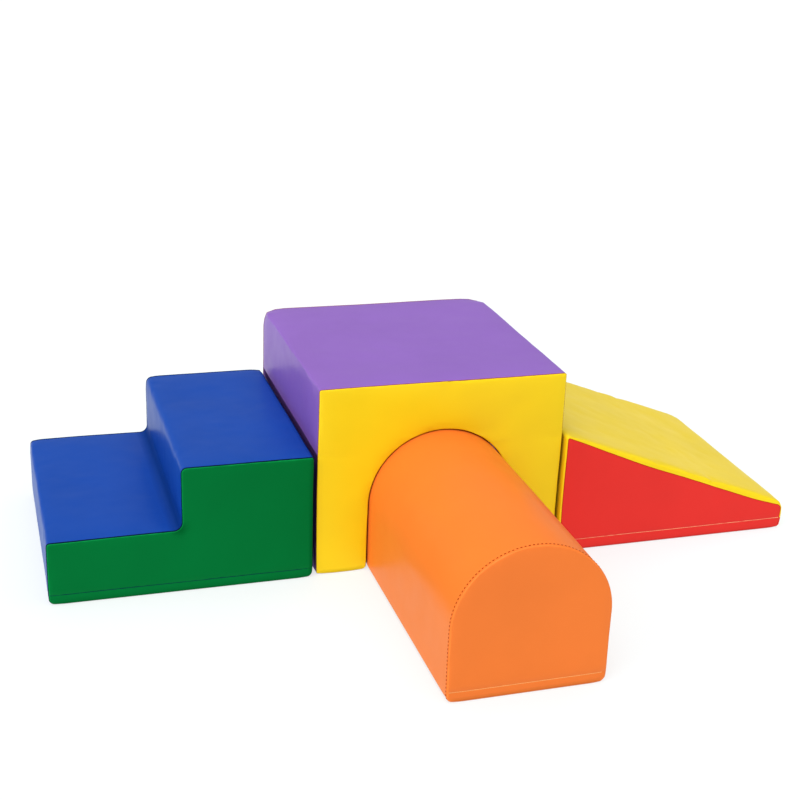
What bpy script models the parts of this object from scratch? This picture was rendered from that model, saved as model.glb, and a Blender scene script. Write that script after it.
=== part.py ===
"""Soft play foam climber: two steps, a tunnel block, a slide block and an arch bolster.

Each block is a foam core in a sewn cover. The cover is a wrap that goes round the outline, a front
and a back panel, a base sheet that grips the floor, and a zip across the back panel. The bolster is
the tunnel's cut-out: it stands in the tunnel's mouth and slides all the way in. Hook and loop strips
hold the steps and the slide against the tunnel block.

Metres, +Z up. The origin is on the floor, at the middle of the whole set. The front, where the
bolster comes out, is at -Y, the steps are at -X and the slide is at +X.
"""

import math
from dataclasses import dataclass

import bmesh
import bpy
from mathutils import Vector

# Tunnel block
tunnel_width = 0.400
tunnel_depth = 0.404
tunnel_height = 0.308
tunnel_crown = 0.080
arch_width = 0.234
tunnel_top_radius = 0.008
tunnel_foot_radius = 0.008
arch_foot_radius = 0.007

# Steps block
steps_length = 0.400
steps_depth = 0.396
lower_tread_length = 0.198
lower_step_height = 0.102
upper_step_height = 0.203
step_nose_radius = 0.010
step_inner_radius = 0.012
steps_foot_radius = 0.008

# Slide block
slide_length = 0.416
slide_depth = 0.400
slide_height = 0.203
slide_crest_radius = 0.011
toe_height = 0.042
toe_radius = 0.0105
toe_lean = 0.003
slide_foot_radius = 0.0105

# Arch bolster
bolster_length = 0.404
bolster_clearance = 0.0010
bolster_foot_radius = 0.008
bolster_insertion = 0.018

# How the blocks stand
steps_forward = 0.007
slide_forward = 0.009

# Covers: sheet thickness, the rolled edges at the seams and how far the seams draw the foam in
cover_thickness = 0.0012
seam_roll = 0.0045
slide_seam_roll = 0.0075
seam_lip = 0.0005
seam_draw = 0.0008
tuck_length = 0.004
base_stand = 0.0005
fit_gap = 0.0003

# Zips
zip_end_margin = 0.034
zip_height_on_blocks = 0.034
slide_zip_end_share = 0.66
tape_width = 0.012
tape_thickness = 0.0008
chain_width = 0.0052
chain_proud = 0.0004
chain_gap = 0.0004
slot_margin = 0.0022
slider_length = 0.016
slider_wall = 0.0011
slider_clearance = 0.0004
slider_corner = 0.0008
lug_length = 0.0072
lug_width = 0.0022
lug_height = 0.0034
lug_hole_radius = 0.0012
pull_length = 0.028
pull_width = 0.0076
pull_thickness = 0.0012
pull_pin_radius = 0.0009
pull_window_length = 0.0092
pull_window_width = 0.0040
pull_corner = 0.0011

# Hook and loop strips
strip_width = 0.050
strip_length = 0.100
strip_thickness = 0.0025
strip_bottom = 0.050
strip_place_shares = (0.22, 0.78)

# Shape of the loft along a block's depth: share of the depth, and share of the seam's draw left there
side_station_shares = ((0.18, 0.15), (0.50, 0.0), (0.82, 0.15))
ROLL_STEPS = 3
CORNER_STEPS = 3
ARCH_STEPS = 12
HOLE_STEPS = 12

# Derived sizes
arch_height = tunnel_height - tunnel_crown
strip_stack = 2 * strip_thickness + 3 * fit_gap
bolster_half_width = arch_width / 2 - bolster_clearance
bolster_height = arch_height - bolster_clearance
tape_drop = cover_thickness + fit_gap
groove_margin = fit_gap + tape_thickness / 2
cutter_overrun = tunnel_top_radius
slider_proud = chain_proud + slider_clearance + slider_wall + lug_height
pin_proud = slider_proud - lug_height / 2


@dataclass
class Corner:
    """A corner of an outline, in the XZ plane, with the radius that rounds it."""

    name: str
    x: float
    z: float
    radius: float = 0.0
    steps: int = CORNER_STEPS


@dataclass
class OutlinePoint:
    """A point of a rounded outline and the direction that faces out of the block there."""

    corner: str
    x: float
    z: float
    out_x: float
    out_z: float


@dataclass
class Block:
    """One module: its outline, its depth along Y and how its cover is sewn."""

    name: str
    place: Vector
    outline: list
    depth: float
    roll: float
    wrap_rolls: bool
    wrap_colour: tuple
    panel_colour: tuple


def clear_scene():
    for obj in list(bpy.data.objects):
        bpy.data.objects.remove(obj)
    for mesh in list(bpy.data.meshes):
        bpy.data.meshes.remove(mesh)


def new_collection(name):
    collection = bpy.data.collections.new(name)
    bpy.context.scene.collection.children.link(collection)
    return collection


def material(name, colour, roughness, metallic=0.0):
    mat = bpy.data.materials.new(name)
    mat.use_nodes = True
    shader = mat.node_tree.nodes["Principled BSDF"]
    shader.inputs["Base Color"].default_value = (*colour, 1.0)
    shader.inputs["Roughness"].default_value = roughness
    shader.inputs["Metallic"].default_value = metallic
    mat.diffuse_color = (*colour, 1.0)
    return mat


def empty(name, place, parent=None):
    obj = bpy.data.objects.new(name, None)
    obj.location = place
    obj.parent = parent
    parts.objects.link(obj)
    return obj


def add_part(name, bm, parent, mat):
    """Turns a bmesh into a named part that hangs from an empty."""
    mesh = bpy.data.meshes.new(name)
    bm.to_mesh(mesh)
    bm.free()
    obj = bpy.data.objects.new(name, mesh)
    obj.parent = parent
    obj.data.materials.append(mat)
    parts.objects.link(obj)
    return obj


def smooth(obj, degrees=32):
    obj.data.shade_smooth()
    obj.data.set_sharp_from_angle(angle=math.radians(degrees))


def box_mesh(low, high):
    """A box between two corners, from a cube primitive."""
    low, high = Vector(low), Vector(high)
    bm = bmesh.new()
    bmesh.ops.create_cube(bm, size=1.0)
    bmesh.ops.scale(bm, vec=high - low, verts=bm.verts)
    bmesh.ops.translate(bm, vec=(low + high) / 2, verts=bm.verts)
    return bm


def combine(obj, name, bm, parent, operation):
    """Cuts a hidden shape out of a part, or joins it on, with a Boolean modifier."""
    mesh = bpy.data.meshes.new(name)
    bm.to_mesh(mesh)
    bm.free()
    shape = bpy.data.objects.new(name, mesh)
    shape.parent = parent
    shape.hide_render = True
    shape.display_type = "WIRE"
    cutters.objects.link(shape)
    boolean = obj.modifiers.new(name, "BOOLEAN")
    boolean.operation = operation
    boolean.solver = "EXACT"
    boolean.object = shape


def cut(obj, name, bm, parent):
    combine(obj, name, bm, parent, "DIFFERENCE")


def join(obj, name, bm, parent):
    combine(obj, name, bm, parent, "UNION")


def round_bar(length, radius, middle):
    """A round bar that runs along Z, from a cone primitive with equal ends."""
    bm = bmesh.new()
    bmesh.ops.create_cone(bm, cap_ends=True, segments=HOLE_STEPS, radius1=radius, radius2=radius,
                          depth=length)
    bmesh.ops.translate(bm, vec=middle, verts=bm.verts)
    return bm


def rounded_outline(corners):
    """The outline's points, clockwise as seen from the front, with an arc at each corner."""
    points = []
    for index, corner in enumerate(corners):
        before, after = corners[index - 1], corners[(index + 1) % len(corners)]
        here = Vector((corner.x, corner.z))
        way_in = (here - Vector((before.x, before.z))).normalized()
        way_out = (Vector((after.x, after.z)) - here).normalized()
        turn = math.atan2(way_in.x * way_out.y - way_in.y * way_out.x, way_in.dot(way_out))
        out = Vector((-way_in.y, way_in.x))
        if corner.radius == 0:
            points.append(OutlinePoint(corner.name, corner.x, corner.z, out.x, out.y))
            continue
        side = -1 if turn < 0 else 1
        start = here - way_in * corner.radius * math.tan(abs(turn) / 2)
        centre = start + out * corner.radius * side
        for step in range(corner.steps + 1):
            angle = turn * step / corner.steps
            facing = Vector((
                out.x * math.cos(angle) - out.y * math.sin(angle),
                out.x * math.sin(angle) + out.y * math.cos(angle),
            ))
            spot = centre - facing * corner.radius * side
            if points and (spot - Vector((points[-1].x, points[-1].z))).length < fit_gap / 2:
                continue
            points.append(OutlinePoint(corner.name, spot.x, spot.y, facing.x, facing.y))
    return points


def stretch(outline, first, last):
    """The points from the first corner named to the last, the way the outline runs."""
    names = [point.corner for point in outline]
    start = names.index(first)
    end = len(names) - 1 - names[::-1].index(last)
    return outline[start:end + 1]


def ring(outline, inset, y):
    return [Vector((p.x - p.out_x * inset, y, p.z - p.out_z * inset)) for p in outline]


def roll_angles():
    """Angles round a rolled edge, from the side of the block to its end face."""
    return [math.pi / 2 * step / ROLL_STEPS for step in range(ROLL_STEPS + 1)]


def roll_station(roll, below, angle):
    """Inset and distance from the end face, at a depth below the cover's outside."""
    inset = seam_draw + roll - (roll - below) * math.cos(angle)
    distance = roll - (roll - below) * math.sin(angle)
    return inset, distance


def side_stations(depth, roll, below, end_gap=0.0):
    """Inset and Y along the sides, between the two rolled edges."""
    start, end = roll + end_gap, depth - roll - end_gap
    stations = [(seam_draw + below, start)]
    for share, draw_share in side_station_shares:
        stations.append((seam_draw * draw_share + below, start + (end - start) * share))
    stations.append((seam_draw + below, end))
    return stations


def loft(bm, rings, closed, outward=True):
    """Quads between rings of equal length. Rings that run towards +Y face out of the block."""
    rows = [[bm.verts.new(point) for point in points] for points in rings]
    count = len(rows[0])
    for row, next_row in zip(rows, rows[1:]):
        for index in range(count if closed else count - 1):
            after = (index + 1) % count
            quad = [row[index], row[after], next_row[after], next_row[index]]
            bm.faces.new(quad if outward else quad[::-1])
    return rows


def shell(obj):
    """Gives an open sheet its thickness, inwards from the outside of the cover."""
    solid = obj.modifiers.new("sheet thickness", "SOLIDIFY")
    solid.thickness = cover_thickness
    solid.offset = -1.0
    solid.use_even_offset = True
    solid.use_quality_normals = True


def strip_cover(name, block, first, last, mat, parent):
    """A strip of cover along part of the outline: a wrap or a lining."""
    part_outline = stretch(block.outline, first, last)
    bm = bmesh.new()
    if block.wrap_rolls:
        rolled = [roll_station(block.roll, 0, angle) for angle in roll_angles()]
        rolled.append((rolled[-1][0] + seam_lip, 0))
        stations = side_stations(block.depth, block.roll, 0)
    else:
        rolled = []
        stations = side_stations(block.depth, block.roll, 0, seam_lip + fit_gap)
    rings = [ring(part_outline, inset, distance) for inset, distance in rolled[:0:-1]]
    rings += [ring(part_outline, inset, y) for inset, y in stations]
    rings += [ring(part_outline, inset, block.depth - distance) for inset, distance in rolled[1:]]
    loft(bm, rings, closed=False)
    obj = add_part(name, bm, parent, mat)
    shell(obj)
    smooth(obj)
    return obj


def end_panel(name, block, at_back, mat, parent):
    """A flat end panel. It rolls round the edge itself, or ends where the wrap has rolled in."""
    def y_at(distance):
        return block.depth - distance if at_back else distance

    bm = bmesh.new()
    if block.wrap_rolls:
        edge = ring(block.outline, seam_draw + block.roll + seam_lip + fit_gap, y_at(0))
        face = bm.faces.new([bm.verts.new(point) for point in edge])
        add_hem(bm, block, face, y_at)
    else:
        rolled = [roll_station(block.roll, 0, angle) for angle in roll_angles()]
        rolled.insert(0, (seam_draw, block.roll + seam_lip))
        rings = [ring(block.outline, inset, y_at(distance)) for inset, distance in rolled]
        rows = loft(bm, rings, closed=True, outward=at_back)
        bm.faces.new(rows[-1])
    bmesh.ops.recalc_face_normals(bm, faces=bm.faces)
    face_out(bm, at_back)
    obj = add_part(name, bm, parent, mat)
    shell(obj)
    smooth(obj)
    return obj


def face_out(bm, at_back):
    """Turns the whole sheet over if its largest face looks into the block."""
    largest = max(bm.faces, key=lambda face: face.calc_area())
    if (largest.normal.y > 0) != at_back:
        bmesh.ops.reverse_faces(bm, faces=bm.faces)


def add_hem(bm, block, face, y_at):
    """Carries the panel's lower edge round under the block, between the wrap's tucked ends."""
    lowest = min(vert.co.z for vert in face.verts)
    tucks = [p.x for p in block.outline if p.corner in ("tuck_left", "tuck_right")]
    left, right = min(tucks) + fit_gap, max(tucks) - fit_gap
    lower = [edge for edge in face.edges if all(v.co.z - lowest < fit_gap / 2 for v in edge.verts)]
    edge = max(lower, key=lambda candidate: candidate.calc_length())
    floor_level = block.outline[0].z
    for vert in edge.verts:
        vert.co.x = min(max(vert.co.x, left), right)
    for angle in roll_angles()[::-1]:
        inset, distance = roll_station(block.roll, 0, angle)
        made = bmesh.ops.extrude_edge_only(bm, edges=[edge])["geom"]
        for vert in [item for item in made if isinstance(item, bmesh.types.BMVert)]:
            vert.co = Vector((min(max(vert.co.x, left), right), y_at(distance), floor_level + inset))
        new_edges = [item for item in made if isinstance(item, bmesh.types.BMEdge)]
        edge = next(item for item in new_edges if len(item.link_faces) == 1
                    and abs(item.verts[0].co.z - item.verts[1].co.z) < fit_gap / 2)


def foam_core(name, block, mat, parent):
    """The foam, one fit gap inside the cover all round."""
    below = cover_thickness + fit_gap
    rolled = [roll_station(block.roll, below, angle) for angle in roll_angles()]
    bm = bmesh.new()
    rings = [ring(block.outline, inset, distance) for inset, distance in rolled[:0:-1]]
    rings += [ring(block.outline, inset, y) for inset, y in side_stations(block.depth, block.roll, below)]
    rings += [ring(block.outline, inset, block.depth - distance) for inset, distance in rolled[1:]]
    rows = loft(bm, rings, closed=True)
    bm.faces.new(rows[0][::-1])
    bm.faces.new(rows[-1])
    bmesh.ops.recalc_face_normals(bm, faces=bm.faces)
    obj = add_part(name, bm, parent, mat)
    smooth(obj)
    return obj


def base_sheet(name, block, first, last, mat, parent):
    """The sheet under a block, between the two tucked ends named."""
    spots = {point.corner: point.x for point in block.outline}
    left, right = sorted((spots[first], spots[last]))
    end_run = block.roll + seam_lip + fit_gap
    low = (left + fit_gap, end_run, 0)
    high = (right - fit_gap, block.depth - end_run, base_stand + cover_thickness)
    return add_part(name, box_mesh(low, high), parent, mat)


def tape_profile(side):
    """A tape and its half of the chain, as (distance into the block, height off the zip's middle)."""
    middle, chain_edge = chain_gap / 2, chain_width / 2
    back = tape_drop + tape_thickness
    outline = [
        (-chain_proud, middle), (-chain_proud, chain_edge - chain_proud), (0, chain_edge),
        (tape_drop, chain_edge), (tape_drop, tape_width), (back, tape_width), (back, middle),
    ]
    return [(depth, height * side) for depth, height in outline]


def zip_tape(name, start, end, face_y, height, side, mat, parent):
    bm = bmesh.new()
    corners = [bm.verts.new((start, face_y - depth, height + up)) for depth, up in tape_profile(side)]
    face = bm.faces.new(corners)
    made = bmesh.ops.extrude_face_region(bm, geom=[face])["geom"]
    moved = [item for item in made if isinstance(item, bmesh.types.BMVert)]
    bmesh.ops.translate(bm, vec=(end - start, 0, 0), verts=moved)
    bmesh.ops.recalc_face_normals(bm, faces=bm.faces)
    return add_part(name, bm, parent, mat)


def zip_slider(name, mat, holder):
    """A channel that rides over the chain, with a lug whose hole carries the pull tab."""
    inner_half = chain_width / 2 + slider_clearance
    roof = chain_proud + slider_clearance
    half_length, half_width = slider_length / 2, inner_half + slider_wall
    skirt = -(tape_drop - slider_clearance)
    body = box_mesh((-half_length, skirt, -half_width), (half_length, roof + slider_wall, half_width))
    slider = add_part(name, body, holder, mat)
    bevel = slider.modifiers.new("rounded edges", "BEVEL")
    bevel.width = slider_corner
    bevel.segments = 1
    overrun = slider_wall
    cut(slider, name + "_channel",
        box_mesh((-half_length - overrun, skirt - overrun, -inner_half),
                 (half_length + overrun, roof, inner_half)), holder)
    join(slider, name + "_lug",
         box_mesh((-lug_length / 2, roof + slider_wall / 2, -lug_width / 2),
                  (lug_length / 2, roof + slider_wall + lug_height, lug_width / 2)), holder)
    cut(slider, name + "_lug_hole",
        round_bar(2 * lug_width, lug_hole_radius, (0, pin_proud, 0)), holder)
    return slider


def zip_pull(name, mat, holder):
    """A flat tab with a window. The round pin across the window's end turns in the slider's lug."""
    half = pull_thickness / 2
    tab = add_part(name, box_mesh((0, -half, -pull_width / 2), (pull_length, half, pull_width / 2)),
                   holder, mat)
    round_corners(tab, pull_corner)
    window_half = pull_window_width / 2
    window_end = pull_pin_radius + pull_window_length
    cut(tab, name + "_window",
        box_mesh((-pull_pin_radius, -pull_thickness, -window_half),
                 (window_end, pull_thickness, window_half)), holder)
    join(tab, name + "_pin", round_bar(pull_width - pull_pin_radius, pull_pin_radius, (0, 0, 0)), holder)
    return tab


def round_corners(plate, radius):
    """Rounds a plate's four corners at the edges that run through its thickness, along Y."""
    weights = plate.data.attributes.new("bevel_weight_edge", "FLOAT", "EDGE")
    verts = plate.data.vertices
    for edge in plate.data.edges:
        run = verts[edge.vertices[1]].co - verts[edge.vertices[0]].co
        weights.data[edge.index].value = float(abs(run.y) > max(abs(run.x), abs(run.z)))
    bevel = plate.modifiers.new("rounded corners", "BEVEL")
    bevel.width = radius
    bevel.segments = CORNER_STEPS
    bevel.limit_method = "WEIGHT"


def add_zip(block, start, end, height, panel, core, parent):
    """Cuts the panel and the foam for the zip, and adds its tapes, slider and pull tab."""
    face_y = block.depth
    slot_half = chain_width / 2 + slot_margin
    cut(panel, block.name + "_zip_slot",
        box_mesh((start, face_y - cover_thickness - fit_gap / 2, height - slot_half),
                 (end, face_y + cutter_overrun, height + slot_half)), parent)
    groove_half = tape_width + groove_margin
    groove_floor = face_y - tape_drop - tape_thickness - groove_margin
    cut(core, block.name + "_zip_groove",
        box_mesh((start - tape_width, groove_floor, height - groove_half),
                 (end + tape_width, face_y + cutter_overrun, height + groove_half)), parent)
    tape_material = material(block.name + "_zip_tape", block.panel_colour, 0.8)
    metal = material(block.name + "_zip_metal", (0.35, 0.36, 0.38), 0.35, 1.0)
    tape_start, tape_end = start + fit_gap, end - fit_gap
    zip_tape(block.name + "_zip_tape_upper", tape_start, tape_end, face_y, height, 1, tape_material, parent)
    zip_tape(block.name + "_zip_tape_lower", tape_start, tape_end, face_y, height, -1, tape_material, parent)
    slider_x = end - fit_gap - slider_length / 2
    slider_empty = empty(block.name + "_zip_slider_place", (slider_x, face_y, height), parent)
    zip_slider(block.name + "_zip_slider", metal, slider_empty)
    pull_empty = empty(block.name + "_zip_pull_pin", (0, pin_proud, 0), slider_empty)
    pull_empty.rotation_euler = (0, 0, math.pi)
    zip_pull(block.name + "_zip_pull", metal, pull_empty)


def hook_strip(name, x_low, x_high, y_middle, mat, parent):
    low = (x_low, y_middle - strip_width / 2, strip_bottom)
    high = (x_high, y_middle + strip_width / 2, strip_bottom + strip_length)
    return add_part(name, box_mesh(low, high), parent, mat)


def tunnel_outline():
    half, arch = tunnel_width / 2, arch_width / 2
    outer_tuck = half - tunnel_foot_radius - tuck_length
    inner_tuck = arch + arch_foot_radius + tuck_length
    return rounded_outline([
        Corner("tuck_left", -outer_tuck, base_stand),
        Corner("foot_left", -half, base_stand, tunnel_foot_radius),
        Corner("top_left", -half, tunnel_height, tunnel_top_radius),
        Corner("top_right", half, tunnel_height, tunnel_top_radius),
        Corner("foot_right", half, base_stand, tunnel_foot_radius),
        Corner("tuck_right", outer_tuck, base_stand),
        Corner("inner_tuck_right", inner_tuck, base_stand),
        Corner("inner_foot_right", arch, base_stand, arch_foot_radius),
        Corner("arch_right", arch, arch_height, arch, ARCH_STEPS),
        Corner("arch_left", -arch, arch_height, arch, ARCH_STEPS),
        Corner("inner_foot_left", -arch, base_stand, arch_foot_radius),
        Corner("inner_tuck_left", -inner_tuck, base_stand),
    ])


def steps_outline():
    return rounded_outline([
        Corner("tuck_left", steps_foot_radius + tuck_length, base_stand),
        Corner("foot_left", 0, base_stand, steps_foot_radius),
        Corner("lower_nose", 0, lower_step_height, step_nose_radius),
        Corner("inner", lower_tread_length, lower_step_height, step_inner_radius),
        Corner("upper_nose", lower_tread_length, upper_step_height, step_nose_radius),
        Corner("top_right", steps_length, upper_step_height, step_nose_radius),
        Corner("foot_right", steps_length, base_stand, steps_foot_radius),
        Corner("tuck_right", steps_length - steps_foot_radius - tuck_length, base_stand),
    ])


def slide_outline():
    toe_foot = slide_length - toe_lean
    return rounded_outline([
        Corner("tuck_left", slide_foot_radius + tuck_length, base_stand),
        Corner("foot_left", 0, base_stand, slide_foot_radius),
        Corner("crest", 0, slide_height, slide_crest_radius),
        Corner("toe", slide_length, toe_height, toe_radius),
        Corner("foot_right", toe_foot, base_stand, slide_foot_radius),
        Corner("tuck_right", toe_foot - slide_foot_radius - tuck_length, base_stand),
    ])


def bolster_outline():
    half = bolster_half_width
    tuck = half - bolster_foot_radius - tuck_length
    return rounded_outline([
        Corner("tuck_left", -tuck, base_stand),
        Corner("foot_left", -half, base_stand, bolster_foot_radius),
        Corner("arch_left", -half, bolster_height, half, ARCH_STEPS),
        Corner("arch_right", half, bolster_height, half, ARCH_STEPS),
        Corner("foot_right", half, base_stand, bolster_foot_radius),
        Corner("tuck_right", tuck, base_stand),
    ])


def build_block(block):
    """A block's foam, wrap, panels and base; the tunnel block also has a lining and two bases."""
    holder = empty(block.name + "_block", block.place)
    foam = material(block.name + "_foam", (0.86, 0.84, 0.78), 0.95)
    wrap = material(block.name + "_wrap_vinyl", block.wrap_colour, 0.36)
    panel = material(block.name + "_panel_vinyl", block.panel_colour, 0.36)
    grip = material(block.name + "_grip_sheet", (0.05, 0.05, 0.055), 0.85)
    core = foam_core(block.name + "_foam_core", block, foam, holder)
    strip_cover(block.name + "_wrap_cover", block, "tuck_left", "tuck_right", wrap, holder)
    end_panel(block.name + "_front_panel", block, False, panel, holder)
    back = end_panel(block.name + "_back_panel", block, True, panel, holder)
    if block.name == "tunnel":
        strip_cover("tunnel_lining", block, "inner_tuck_right", "inner_tuck_left", wrap, holder)
        base_sheet("tunnel_base_left", block, "tuck_left", "inner_tuck_left", grip, holder)
        base_sheet("tunnel_base_right", block, "tuck_right", "inner_tuck_right", grip, holder)
    else:
        base_sheet(block.name + "_base_sheet", block, "tuck_left", "tuck_right", grip, holder)
    return holder, core, back


def block_places():
    """Where each block stands, with the origin at the middle of the whole set's box."""
    slide_reach = max(point.x for point in slide_outline())
    total_length = steps_length + strip_stack + tunnel_width + strip_stack + slide_reach
    bolster_out = bolster_length - bolster_insertion
    total_back = tunnel_depth + slider_proud
    tunnel_x = steps_length + strip_stack + tunnel_width / 2 - total_length / 2
    front = (bolster_out - total_back) / 2
    return {
        "steps": Vector((-total_length / 2, front - steps_forward, 0)),
        "tunnel": Vector((tunnel_x, front, 0)),
        "slide": Vector((total_length / 2 - slide_reach, front - slide_forward, 0)),
        "bolster": Vector((tunnel_x, front - bolster_out, 0)),
    }


def build_steps():
    block = Block("steps", places["steps"], steps_outline(), steps_depth, seam_roll, False,
                  (0.03, 0.09, 0.45), (0.0, 0.22, 0.05))
    holder, core, back = build_block(block)
    add_zip(block, zip_end_margin, steps_length - zip_end_margin, zip_height_on_blocks, back, core, holder)
    loop = material("steps_loop_fabric", (0.04, 0.04, 0.045), 0.95)
    low = steps_length + fit_gap
    for number, share in enumerate(strip_place_shares, 1):
        hook_strip(f"steps_loop_strip_{number}", low, low + strip_thickness,
                   steps_depth * share, loop, holder)


def build_tunnel():
    block = Block("tunnel", places["tunnel"], tunnel_outline(), tunnel_depth, seam_roll, False,
                  (0.24, 0.10, 0.50), (0.90, 0.62, 0.01))
    holder, core, back = build_block(block)
    zip_half = tunnel_width / 2 - zip_end_margin
    add_zip(block, -zip_half, zip_half, (arch_height + tunnel_height) / 2, back, core, holder)
    hook = material("tunnel_hook_fabric", (0.04, 0.04, 0.045), 0.9)
    near = tunnel_width / 2 + fit_gap
    for number, share in enumerate(strip_place_shares, 1):
        steps_y = steps_depth * share - steps_forward
        slide_y = slide_depth * share - slide_forward
        hook_strip(f"tunnel_hook_strip_left_{number}", -near - strip_thickness, -near, steps_y, hook, holder)
        hook_strip(f"tunnel_hook_strip_right_{number}", near, near + strip_thickness, slide_y, hook, holder)


def build_slide():
    block = Block("slide", places["slide"], slide_outline(), slide_depth, slide_seam_roll, True,
                  (0.85, 0.60, 0.02), (0.75, 0.03, 0.03))
    holder, core, back = build_block(block)
    add_zip(block, zip_end_margin, slide_length * slide_zip_end_share, zip_height_on_blocks, back, core, holder)
    loop = material("slide_loop_fabric", (0.04, 0.04, 0.045), 0.95)
    for number, share in enumerate(strip_place_shares, 1):
        hook_strip(f"slide_loop_strip_{number}", -fit_gap - strip_thickness, -fit_gap,
                   slide_depth * share, loop, holder)


def build_bolster():
    block = Block("bolster", places["bolster"], bolster_outline(), bolster_length, seam_roll, False,
                  (0.95, 0.24, 0.03), (0.90, 0.20, 0.03))
    holder, core, back = build_block(block)
    zip_half = bolster_half_width - zip_end_margin
    add_zip(block, -zip_half, zip_half, zip_height_on_blocks, back, core, holder)


clear_scene()
parts = new_collection("soft_play_foam_climber")
cutters = new_collection("cutters")
places = block_places()
build_tunnel()
build_steps()
build_slide()
build_bolster()
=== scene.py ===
"""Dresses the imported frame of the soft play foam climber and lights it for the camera.

Four foam blocks stand on a pale floor: two steps, a tunnel block, a slide and the arch bolster that
fits the tunnel. Each block's cover starts as one closed shell. It is traced, rolled at its seams,
blown up a little as tight vinyl over foam is, and then cut apart into wrap, panels and lining.
Thread, zips, hook and loop patches and finishes follow. Metres, +Z up, front at -Y.
"""

from __future__ import annotations

import logging
import math
from collections.abc import Callable, Sequence
from dataclasses import dataclass, field, replace
from enum import Enum
from typing import Any

import bmesh
import bpy
from mathutils import Matrix, Vector, noise


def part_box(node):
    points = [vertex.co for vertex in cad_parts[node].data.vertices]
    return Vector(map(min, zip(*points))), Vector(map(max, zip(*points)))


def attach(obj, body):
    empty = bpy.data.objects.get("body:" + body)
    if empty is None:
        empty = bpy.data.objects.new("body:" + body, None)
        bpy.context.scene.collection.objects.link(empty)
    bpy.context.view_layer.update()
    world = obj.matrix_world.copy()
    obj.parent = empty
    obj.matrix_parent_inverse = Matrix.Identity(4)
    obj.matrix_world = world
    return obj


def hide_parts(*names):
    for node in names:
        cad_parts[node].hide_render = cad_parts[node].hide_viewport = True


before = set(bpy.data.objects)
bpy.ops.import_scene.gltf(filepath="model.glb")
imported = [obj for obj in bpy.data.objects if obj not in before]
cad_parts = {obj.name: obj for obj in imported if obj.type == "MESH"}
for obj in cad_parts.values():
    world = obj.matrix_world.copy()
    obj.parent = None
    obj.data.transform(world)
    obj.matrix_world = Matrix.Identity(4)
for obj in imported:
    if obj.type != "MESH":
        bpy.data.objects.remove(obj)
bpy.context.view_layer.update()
NEAR = 1e-5  # metres: points nearer than this are one point
CLOSE = NEAR * 10  # points nearer than this to a plane lie on it
SNAP = 0.0003  # a vertex this near to a close cut is used as it is
FLAT = 0.995  # a face is square to an axis when its normal has more than this of it
FACING = 0.9  # a face looks along an axis when its normal has more than this of it
SLANT = 0.5  # with less than this of an axis, a face runs along it
LONG_EDGE, LONG_EDGE_CUTS = 0.05, 23  # a longer edge of a path gets this many points
TURNED = 9  # marks, on a shell, the margin of an end face that the wrap turns over

log = logging.getLogger("climber")

Colour = tuple[float, float, float]


class Pick(Enum):
    """What an edit-mode selection is made of."""

    VERTS = "VERT"
    EDGES = "EDGE"
    FACES = "FACE"


class Cover(Enum):
    """The parts that a shell is cut into. The value is the shell's material slot."""

    WRAP = 0
    FRONT = 1
    BACK = 2
    LINING = 3
    BASE = 4


class SeamPlace(Enum):
    """Where wrap and panel meet: behind the rolled edge, or in front of it on the end face."""

    BEHIND_ROLL = 0
    ON_FACE = 1


def srgb(red: int, green: int, blue: int) -> Colour:
    """Turns a display colour into the linear values that a shader takes.

    Args:
        red: Red, 0 to 255.
        green: Green, 0 to 255.
        blue: Blue, 0 to 255.

    Returns:
        Linear red, green and blue.
    """
    def linear(value: int) -> float:
        """Returns one channel made linear."""
        share = value / 255
        return share / 12.92 if share <= 0.04045 else ((share + 0.055) / 1.055) ** 2.4

    return linear(red), linear(green), linear(blue)


def clamp(value: float) -> float:
    """Returns a value, but no less than 0 and no more than 1."""
    return min(1.0, max(0.0, value))


def fade(away: float, reach: float) -> float:
    """Returns a share that is 1 at a place and falls evenly to 0 at a reach from it."""
    return max(0.0, 1 - away / reach)


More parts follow.
